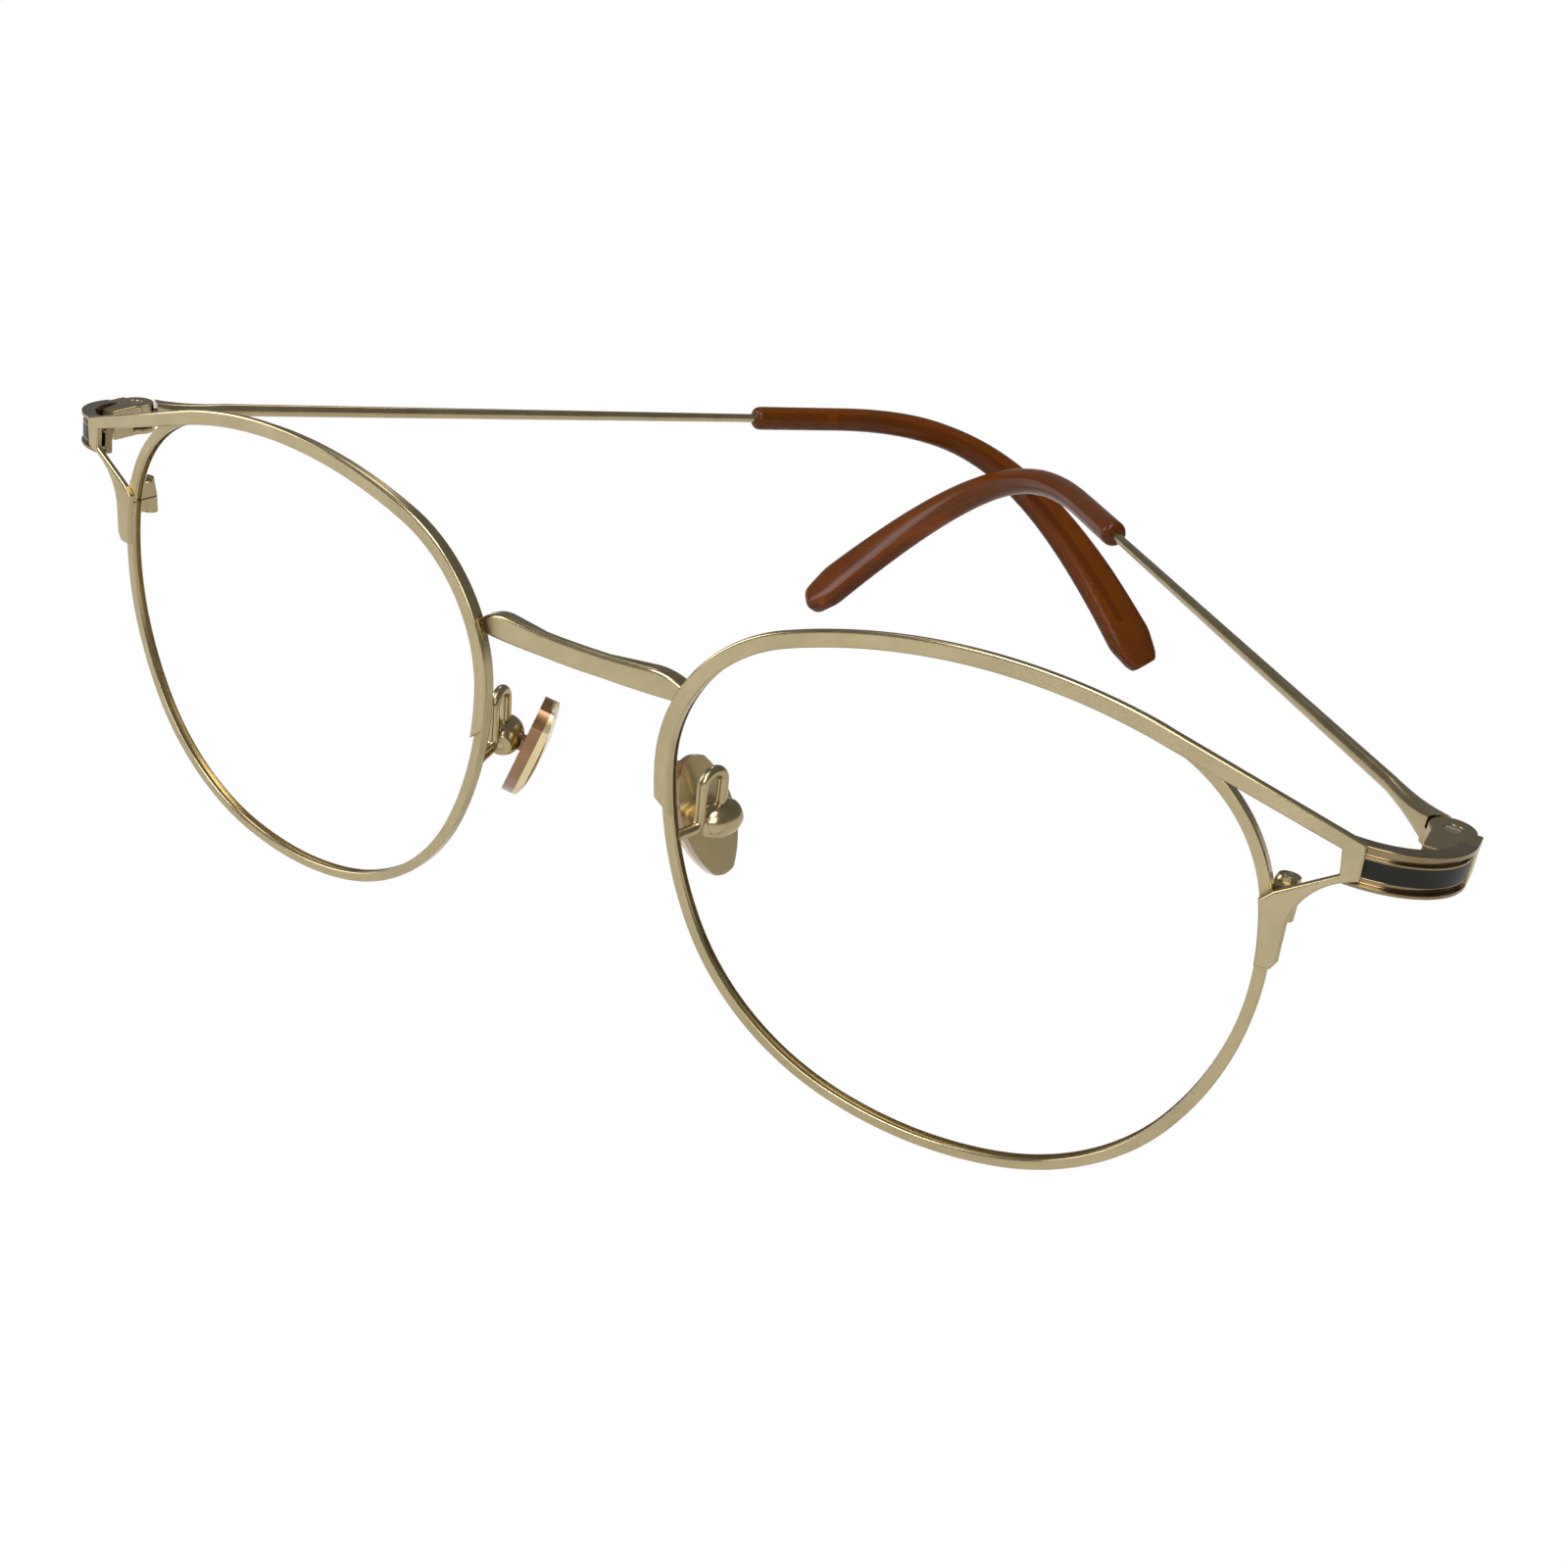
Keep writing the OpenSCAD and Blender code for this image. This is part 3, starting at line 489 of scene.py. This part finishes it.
rings = []
for i in range(-half_rings, half_rings + 1):
    x = half_bar * i / half_rings
    far = max(0, abs(x) - straight) / (half_bar - straight)
    y = front_y - bow_ahead + bow_r - math.sqrt(bow_r**2 - x * x)
    deep = bar_deep + end_deeper * far * (2 - far)
    fall = top_fall * max(0, (abs(x) - level_top) / (half_bar - level_top)) ** 2
    low, high = bar_low_z - end_lower * far, bar_high_z + end_higher * far - fall
    rings.append([(x, y, low), (x, y, high), (x, y + deep, high), (x, y + deep, low)])
bm = loft(rings)
soften(bm, bar_round, 5)
piece("bridge_bar", bm, "front", ["bridge"], polished_gold, plate_gold, facing=0.9)

# Closing blocks: two machined gold halves brazed to the rim's ends behind the strut, and the
# slotted screw that pulls them together. They keep their shapes from the model with every edge
# broken by polishing, but reach forwards to the wire, end higher and have a low, domed top.

# The axis of the two barrels, and the edges of blocks and screws
lock_x, lock_y = 58.19, -48.79
block_edge, screw_edge = 0.2, 0.04
# The dome starts at a height, and its top is lower and narrower by a share
dome_z, dome_tall, dome_drop, dome_narrow = 32.6, 1.56, 0.75, 0.22
# Below a height the block ends higher
lock_low, lock_short = 30.4, 0.9
# Behind a depth it is thinner by a share, and before it the block reaches further forwards
block_back, block_thin, block_ahead = 1.75, 0.25, 0.55

bright = paint("screw_gold")
slow = bright.grain(600)
screw_gold = bright.shine(
    Base_Color=bright.mix(slow, (0.42, 0.37, 0.26), (0.58, 0.52, 0.40)),
    Metallic=1.0,
    Roughness=0.2 + 0.15 * slow,
)


# A CAD node's shape in mm, its flat faces whole again and its sharp edges broken
def refined(node, width, segments=2):
    bm = bmesh.new()
    bm.from_mesh(frame["nodes"][node].data)
    bmesh.ops.scale(bm, vec=(1000, 1000, 1000), verts=bm.verts)
    bmesh.ops.remove_doubles(bm, verts=bm.verts, dist=0.002)
    bmesh.ops.dissolve_limit(bm, angle_limit=0.02, verts=bm.verts, edges=bm.edges, delimit={"NORMAL"})
    soften(bm, width, segments)
    return bm


# The way a rim's front looks
def forwards(side):
    return Vector((side * math.sin(wrap), -math.cos(wrap), 0))


# How far a point lies behind a rim's front face
def behind_rim(side, p):
    return (p.y - front_y) * math.cos(wrap) - (side * p.x - rim_x) * math.sin(wrap)


# A block or its screw with the domed top, the shorter lower end and the thinner back
def domed(bm, side):
    for v in bm.verts:
        high = max(0, (v.co.z - dome_z) / dome_tall)
        narrow = 1 - dome_narrow * high * high
        v.co.x = side * lock_x + (v.co.x - side * lock_x) * narrow
        v.co.y = lock_y + (v.co.y - lock_y) * narrow
        v.co.z += lock_short * min(1, max(0, lock_low - v.co.z)) - dome_drop * high
        v.co += forwards(side) * block_thin * max(0, behind_rim(side, v.co) - block_back)


for side, word in sides:
    for half in ("upper", "lower"):
        node = f"rim_lock_{half}_{word}"
        bm = refined(node, block_edge)
        domed(bm, side)
        for v in bm.verts:
            if behind_rim(side, v.co) < block_back:
                v.co += forwards(side) * block_ahead
        piece(f"{node}_body", bm, "front", [node], polished_gold, satin_gold, facing=0.9)
    node = f"rim_lock_screw_{word}"
    bm = refined(node, screw_edge)
    domed(bm, side)
    piece(f"{node}_body", bm, "front", [node], screw_gold)

# End pieces: each a gold channel with two flanges and a raised rail, milled, bent round the
# corner of the front and soldered behind the brow plate. A strip of black enamel fills the rail.

# The middle of the corner lies inside and before the hinge pin, and the channel falls to the back
corner_in, corner_ahead, corner_fall = 4.9, 2, math.radians(6)
# Section: radii of the back, the flanges, the grooves, the rail and the bed of the strip
back_r, flange_r, floor_r, rail_r, bed_r = 5.7, 7, 6.5, 6.85, 6.6
channel_round, lead_in, bend_steps = 0.05, 0.4, 40
# The strip's clearance, and where on the turn it starts and how far it runs, in degrees
strip_gap, strip_start, strip_turn = 0.01, 0.5, 85
channel = [(back_r, -1.45), (flange_r, -1.45), (flange_r, -1.15), (floor_r, -1.15)]
channel += [(floor_r, -0.72), (rail_r, -0.72), (rail_r, -0.6), (bed_r, -0.6)]
channel += [(bed_r, 0.72), (rail_r, 0.72), (rail_r, 0.95), (floor_r, 0.95)]
channel += [(floor_r, 1.42), (flange_r, 1.42), (flange_r, 1.8), (back_r, 1.8)]
strip_in, strip_out = bed_r + strip_gap, rail_r + strip_gap
strip_low, strip_high = -0.6 + strip_gap, 0.72 - strip_gap
strip = [(strip_in, strip_low), (strip_out, strip_low), (strip_out, strip_high), (strip_in, strip_high)]

# Painted shade: this gold is about half as bright as the rest of the frame's gold, standing in for the
# shade in the channel's grooves.
gold = paint("channel_gold_painted_shade")
slow = gold.grain(420)
channel_gold_painted_shade = gold.shine(
    Base_Color=gold.mix(slow, (0.17, 0.12, 0.06), (0.32, 0.24, 0.13)),
    Metallic=1.0,
    Roughness=0.12 + 0.1 * slow,
)
ink = paint("black_enamel")
slow = ink.grain(500)
black_enamel = ink.shine(
    Base_Color=ink.mix(slow, (0.004, 0.004, 0.002), (0.012, 0.012, 0.008)),
    Roughness=0.35 + 0.1 * slow,
    IOR=1.3,
)


# A point of the section after a turn in degrees round the corner, or some mm before it
def at_corner(side, r, z, turned):
    x, y = r * math.sin(math.radians(turned)), -r * math.cos(math.radians(turned))
    if turned < 0:
        x, y = turned, -r
    lean_y = y * math.cos(corner_fall) + z * math.sin(corner_fall)
    lean_z = z * math.cos(corner_fall) - y * math.sin(corner_fall)
    return Vector((side * (pin.x - corner_in + x), pin.y - corner_ahead + lean_y, pin.z + lean_z))


for side, word in sides:
    bends = [-lead_in] + steps(0, 90, bend_steps) + [90]
    bm = loft([[at_corner(side, r, z, bend) for r, z in channel] for bend in bends])
    soften(bm, channel_round, 2, 0.7)
    piece(f"end_channel_{word}", bm, "front", [f"end_piece_{word}"], channel_gold_painted_shade)
    strip_stop = strip_start + strip_turn
    bends = steps(strip_start, strip_stop, bend_steps) + [strip_stop]
    bm = loft([[at_corner(side, r, z, bend) for r, z in strip] for bend in bends])
    piece(f"end_strip_{word}", bm, "front", [f"end_inlay_{word}"], black_enamel)

# Hinge blocks: each a machined gold block with a fork, soldered inside its end piece, and the
# slotted screw that is the hinge's pin. They keep their shapes from the model with broken edges,
# but the screw's head sits in a small seat and the underside lies higher.
hinge_edge = 0.16
# Above a height and near the pin the head and its seat are drawn in by a share
seat_z, seat_reach, seat_shrink = 37.1, 1.3, 0.37
# Below a height the underside is raised, blended in over a depth
under_z, under_rise, under_blend = 35.2, 0.4, 0.5


# A hinge block or its screw with the small seat and the higher underside
def seated(bm, side):
    for v in bm.verts:
        off = Vector((v.co.x - side * pin.x, v.co.y - pin.y))
        if v.co.z > seat_z and off.length < seat_reach:
            off *= 1 - seat_shrink * min(1, off.length) / max(off.length, 0.01)
            v.co.x = side * pin.x + off.x
            v.co.y = pin.y + off.y
        v.co.z += under_rise * min(1, max(0, under_z - v.co.z) / under_blend)


for side, word in sides:
    node = f"hinge_block_{word}"
    bm = refined(node, hinge_edge)
    seated(bm, side)
    piece(f"{node}_body", bm, "front", [node], polished_gold, satin_gold, facing=0.9)
    node = f"hinge_screw_{word}"
    bm = refined(node, screw_edge)
    seated(bm, side)
    piece(f"{node}_body", bm, "front", [node], screw_gold)

# Nose pad arms: each a round polished wire, brazed to the back of the rim beside the nose. It
# runs back level, bends up, loops over and comes down on top of its barrel.
barrel = Vector(joints["pad_rock_right"]["pos_m"]) * 1000
arm_r, arm_sides = 0.5, 20
# The foot lies below the middle of the opening, outside it and sunk into the wire's back
arm_down, arm_out, arm_sunk = 1.5, 0.55, 0.1
# Bend and loop, the loop's height, and the end of the wire above the barrel's middle
bend_r, bend_lead, loop_r, loop_up, barrel_top = 0.8, 0.2, 1.2, 3.8, 1.35
quarter_steps, half_steps = 8, 20
foot_z = middle_z - arm_down
foot_out = arcs[nose_arc][0].x - math.sqrt(nose_r**2 - (nose_lift + arm_down) ** 2) - arm_out
foot_y = front_y + foot_out * math.sin(wrap) + wire_deep - arm_sunk
foot = Vector((rim_x + foot_out * math.cos(wrap), foot_y, foot_z))
level_run = Vector((barrel.x - foot.x, barrel.y - foot.y, 0))
reach, back = level_run.length, level_run.normalized()
rise = reach - 2 * loop_r
up = Vector((0, 0, 1))
# The wire's route as run from the foot and height over it
route = [(0, 0), (rise - bend_r - bend_lead, 0)]
for t in steps(0, math.pi / 2, quarter_steps) + [math.pi / 2]:
    route.append((rise - bend_r + bend_r * math.sin(t), bend_r - bend_r * math.cos(t)))
for t in steps(0, math.pi, half_steps) + [math.pi]:
    route.append((reach - loop_r - loop_r * math.cos(t), loop_up + loop_r * math.sin(t)))
route.append((reach, barrel.z - foot_z + barrel_top))


# Cosine and sine of each of a number of even turns
def circle(count):
    return [(math.cos(math.tau * i / count), math.sin(math.tau * i / count)) for i in range(count)]


for side, word in sides:
    rings = []
    for i, (run, height) in enumerate(route):
        before, after = Vector(route[max(i - 1, 0)]), Vector(route[min(i + 1, len(route) - 1)])
        way = (after - before).normalized()
        flow = back * way.x + up * way.y
        out = back.cross(up)
        over = out.cross(flow)
        at = foot + back * run + up * height
        ring = [at + arm_r * (out * c + over * s) for c, s in circle(arm_sides)]
        rings.append([Vector((side * p.x, p.y, p.z)) for p in ring])
    piece(f"arm_wire_{word}", loft(rings), "front", [f"pad_arm_{word}"], polished_gold)

# Barrels: each a small turned gold bead with a slot for the pad's lug, brazed to the arm's end,
# and the pin across it. The model's barrel is cut into rings along its axis and its outer skin
# is drawn in towards both ends. The slot stays as it is.
pin_way = Vector(joints["pad_rock_right"]["axis"])
barrel_edge, ring_step, half_cuts = 0.12, 0.21, 8
# Half its length, the core that stays, and the skin's thickness over it
half_barrel, core_r, wall = 1.8, 1.0, 0.4
# The skin's size in the middle, what the ends lose, and how full it is between
middle_grow, end_shrink, fullness = 1.12, 0.42, 2.6


# New edges all round where a plane passes through a shape
def slice_through(bm, at, normal):
    geometry = bm.verts[:] + bm.edges[:] + bm.faces[:]
    bmesh.ops.bisect_plane(bm, geom=geometry, dist=0.0005, plane_co=at, plane_no=normal)


for side, word in sides:
    node = f"pad_barrel_{word}"
    bm = refined(node, barrel_edge)
    way = Vector((side * pin_way.x, pin_way.y, pin_way.z))
    middle = Vector((side * barrel.x, barrel.y, barrel.z))
    for i in range(-half_cuts, half_cuts + 1):
        slice_through(bm, middle + way * ring_step * i, way)
    for v in bm.verts:
        far = (v.co - middle).dot(way)
        skin = v.co - middle - way * far
        if skin.length > core_r:
            grow = middle_grow - end_shrink * (abs(far) / half_barrel) ** fullness
            outer_share = min(1, (skin.length - core_r) / wall)
            v.co = middle + way * far + skin * (1 + (grow - 1) * outer_share)
    piece(f"{node}_body", bm, "front", [node], polished_gold)
    node = f"pad_pin_{word}"
    piece(f"{node}_body", refined(node, screw_edge), "front", [node], screw_gold)

# Nose pads: plump moulded drops that rock on their pins, with bright gold faces and a glossy
# reddish amber edge. They are a little smaller and thicker than the model's.
pad_scale, pad_round = 0.88, 0.5
# What lies in the outer layer is moved outwards
outer_layer, pad_thicker = 0.75, 0.45
# A gold band runs round the edge between two depths under the outer face
band_start, band_stop = 0.4, 1.05

pearl = paint("pad_gold")
slow = pearl.grain(350)
pad_gold = pearl.shine(
    Base_Color=pearl.mix(slow, (0.56, 0.44, 0.22), (0.78, 0.65, 0.38)),
    Metallic=0.9,
    Roughness=0.16 + 0.12 * slow,
    Coat_Weight=0.6,
)
rind = paint("pad_rim")
slow = rind.grain(500)
pad_rim = rind.shine(
    Base_Color=rind.mix(slow, (0.16, 0.06, 0.016), (0.32, 0.16, 0.05)),
    Metallic=0.75,
    Roughness=0.14 + 0.1 * slow,
    Coat_Weight=1.0,
)
for side, word in sides:
    bm = refined(f"nose_pad_{word}", pad_round, 4)
    middle = sum((v.co for v in bm.verts), Vector()) / len(bm.verts)
    outwards = max(bm.faces, key=lambda face: face.calc_area()).normal.copy()
    if outwards.dot(middle - Vector((side * barrel.x, barrel.y, barrel.z))) < 0:
        outwards = -outwards
    for v in bm.verts:
        v.co = middle + (v.co - middle) * pad_scale
    reach = max((v.co - middle).dot(outwards) for v in bm.verts)
    for v in bm.verts:
        if (v.co - middle).dot(outwards) > reach - outer_layer:
            v.co += outwards * pad_thicker
    outer = middle + outwards * max((v.co - middle).dot(outwards) for v in bm.verts)
    for deep in (band_start, band_stop):
        slice_through(bm, outer - outwards * deep, outwards)
    made = piece(f"pad_{word}_shell", bm, f"pad_{word}", [f"nose_pad_{word}"], pad_rim)
    made.data.materials.append(pad_gold)
    for polygon in made.data.polygons:
        deep = (outer - polygon.center * 1000).dot(outwards)
        if abs(polygon.normal.dot(outwards)) > 0.95 or band_start < deep < band_stop:
            polygon.material_index = 1

# Temples: each made from one gold wire, with a round knuckle between the hinge block's cheeks,
# a flat root with soft corners that narrows behind it, and a round wire that tapers to the tip.

# How far each temple stands folded, how much it falls to the back, and its height at the hinge
folds = {1: math.radians(39.2), -1: math.radians(30.6)}
temple_fall, wire_lift = math.radians(3.65), 0.95
# The wire tapers from the root's end to where the tip starts, and ends inside the tip
thick_r, thin_r = 0.65, 0.5
wire_start, tip_at, wire_end = 9.1, 73.6, 84
# The root: where it starts, stops being widest and ends, with its half width and its top
root_start, root_flat, root_end = 1.95, 3.5, 9
root_wide, root_high, root_square = 0.95, 1.65, 0.25
# The knuckle and the neck behind it
knuckle_r, knuckle_half, knuckle_edge, bore_r = 1.5, 0.65, 0.1, 0.59
neck_half, neck_start, neck_end = 0.64, 0.9, 2.2
root_rings, wire_rings, around_wire, around_knuckle = 24, 40, 32, 48


# From a temple's own place, x outwards, y back along it and z up from the hinge, to the frame
def at_hinge(side, x, y, z):
    fold = folds[side]
    out = pin.x + x * math.cos(fold) - y * math.sin(fold)
    return Vector((side * out, pin.y + x * math.sin(fold) + y * math.cos(fold), pin.z + z))


# The same along the wire, which starts above the hinge's middle and falls towards the tip
def at_wire(side, x, y, z):
    high = wire_lift - y * math.sin(temple_fall) + z * math.cos(temple_fall)
    return at_hinge(side, x, y * math.cos(temple_fall) + z * math.sin(temple_fall), high)


# A circle squared towards its corners: power 1 is round and a lower one squarer
def squared(count, power):
    found = []
    for c, s in circle(count):
        found.append((math.copysign(abs(c) ** power, c), math.copysign(abs(s) ** power, s)))
    return found


for side, word in sides:
    body, node = f"temple_{word}", f"temple_{word}"
    rings = []
    end_z = wire_lift - root_end * math.tan(temple_fall)
    for i in range(root_rings + 1):
        y = root_start + (root_end - root_start) * i / root_rings
        share = 1 - (1 - i / root_rings) ** 2
        low = -knuckle_half + (end_z - thick_r + knuckle_half) * share
        top = root_high + (end_z + thick_r - root_high) * share
        wide = root_wide - (root_wide - thick_r) * max(0, y - root_flat) / (root_end - root_flat)
        middle, half = (low + top) / 2, (top - low) / 2
        corners = squared(around_wire, root_square + (1 - root_square) * share)
        rings.append([at_hinge(side, wide * c, y, middle + half * s) for c, s in corners])
    for i in range(1, wire_rings + 1):
        y = wire_start + (wire_end - wire_start) * i / wire_rings
        r = thick_r - (thick_r - thin_r) * min(1, (y - root_end) / (tip_at - root_end))
        rings.append([at_wire(side, r * c, y, r * s) for c, s in circle(around_wire)])
    piece(f"temple_wire_{word}", loft(rings), body, [node], polished_gold)
    inner = knuckle_r - knuckle_edge
    section = [(-knuckle_half, inner), (knuckle_edge - knuckle_half, knuckle_r)]
    section += [(knuckle_half - knuckle_edge, knuckle_r), (knuckle_half, inner)]
    section += [(knuckle_half, bore_r), (-knuckle_half, bore_r)]
    bm = bmesh.new()
    row, edges = closed_line(bm, [at_hinge(side, r, 0, z) for z, r in section])
    hub = at_hinge(side, 0, 0, 0)
    bmesh.ops.spin(
        bm,
        geom=row + edges,
        cent=hub,
        axis=(0, 0, 1),
        angle=math.tau,
        steps=around_knuckle,
        use_merge=True,
    )
    piece(f"temple_knuckle_{word}", bm, body, [node], polished_gold)
    corners = [(root_wide, -neck_half), (root_wide, neck_half)]
    corners += [(-root_wide, neck_half), (-root_wide, -neck_half)]
    rings = [[at_hinge(side, x, y, z) for x, z in corners] for y in (neck_start, neck_end)]
    piece(f"temple_neck_{word}", loft(rings), body, [node], polished_gold)

# Temple tips: each a moulded brown acetate sleeve pushed over the temple's end, round in front,
# which bends down and inwards and grows into a flat paddle with cut corners. The temple's dark
# core wire shows through the brown.

# The sleeve, and the hook's reach to the back, inwards and down, all from where the tip starts
sleeve_r, sleeve_long = 1.42, 12
tip_back, hook_in, hook_down = 54.4, 22.2, 27.76
# Where the bend begins, where it is tightest, and the shares of the reach that it has there
bend_start, bend_tight, early_in, early_down = 32.6, 42.7, 0.2, 0.165
# The hook is a little thicker than the sleeve; its paddle is thinner, wider and ends sooner
tip_thicker, paddle_thinner, paddle_wider, paddle_short = 0.13, 0.15, 1.9, 0.7
# Shares of the hook where the paddle starts and its corners are cut, and how steeply
grow_start, cut_start, cut_slope = 0.3, 0.955, 9
# Behind this place in the frame the end is drawn in, to stay inside the model's size
box_back, box_share = 56, 0.42
core_wire_r, core_end = 0.45, 0.93
hook_rings, core_rings, around_tip, around_core = 100, 60, 40, 12

amber = paint("brown_acetate")
streak = amber.grain(160, 3.0)
brown_acetate = amber.shine(
    Base_Color=amber.mix(streak, (0.10, 0.023, 0.001), (0.19, 0.05, 0.002)),
    Roughness=0.18 + 0.04 * streak,
    IOR=1.34,
    Transmission_Weight=0.55,
    Specular_IOR_Level=0.1,
)
dark = paint("core_wire")
core_wire = dark.shine(
    Base_Color=dark.mix(dark.grain(900), (0.012, 0.005, 0.002), (0.03, 0.014, 0.008)), Roughness=0.5
)


# The middle line of the hook, from the end of the sleeve at 0 to the end of the tip at 1
def hook(t):
    start, first, second, end = (1 - t) ** 3, 3 * (1 - t) ** 2 * t, 3 * (1 - t) * t * t, t**3
    back = start * sleeve_long + first * bend_start + second * bend_tight + end * tip_back
    inwards, downwards = hook_in * (early_in * second + end), hook_down * (early_down * second + end)
    return Vector((-inwards, back, -downwards))


# Place, direction, and the directions across the thin and the wide side of the hook
def hook_frame(t):
    near = 0.002
    way = (hook(t + near) - hook(max(0, t - near))).normalized()
    thin = (Vector((-1, 0, 0)) + way.x * way).normalized()
    return hook(t), way, thin, way.cross(thin)


# The outline of the hook at a place, which can be smaller and lie further back
def hook_ring(t, shrink=1.0, back=0.0):
    at, way, thin, wide = hook_frame(t)
    grown = max(0, (t - grow_start) / (1 - grow_start)) ** 1.5
    cut = 1 - cut_slope * max(0, t - cut_start)
    half_thick = (sleeve_r + tip_thicker * min(1, 4 * t) - paddle_thinner * grown) * shrink
    half_across = (half_thick + paddle_wider * grown * shrink) * cut
    at = at - way * (back + paddle_short * grown)
    flattened = squared(around_tip, 1 - 0.4 * grown)
    return [at + wide * half_across * c + thin * half_thick * s for c, s in flattened]


# Rings drawn from where the tip starts, put in their place on a temple
def on_temple(side, rings):
    return [[at_wire(side, p.x, tip_at + p.y, p.z) for p in ring] for ring in rings]


# The rounded mouth of the sleeve and its straight part, as distance and radius
sleeve = [(0, 0.52), (0, 0.95), (0.1, 1.15), (0.3, 1.31), (0.6, 1.4)]
sleeve += [(1.2, sleeve_r), (4, sleeve_r), (8, sleeve_r), (11.9, sleeve_r)]
for side, word in sides:
    body = f"temple_{word}"
    rings = [[Vector((-r * s, y, r * c)) for c, s in circle(around_tip)] for y, r in sleeve]
    rings += [hook_ring(i / hook_rings) for i in range(1, hook_rings)]
    # The end closes over three smaller outlines
    rings += [hook_ring(1, 0.97, 0.3), hook_ring(1, 0.85), hook_ring(1, 0.4)]
    rings = on_temple(side, rings)
    for ring in rings:
        for p in ring:
            p.y -= box_share * max(0, p.y - box_back)
    piece(f"tip_{word}_acetate", loft(rings), body, [f"temple_tip_{word}"], brown_acetate)
    rings = []
    for t in steps(0, core_end, core_rings):
        at, way, thin, wide = hook_frame(t)
        rings.append([at + core_wire_r * (wide * c + thin * s) for c, s in circle(around_core)])
    piece(f"core_{word}", loft(on_temple(side, rings)), body, [body], core_wire)

low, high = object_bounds()
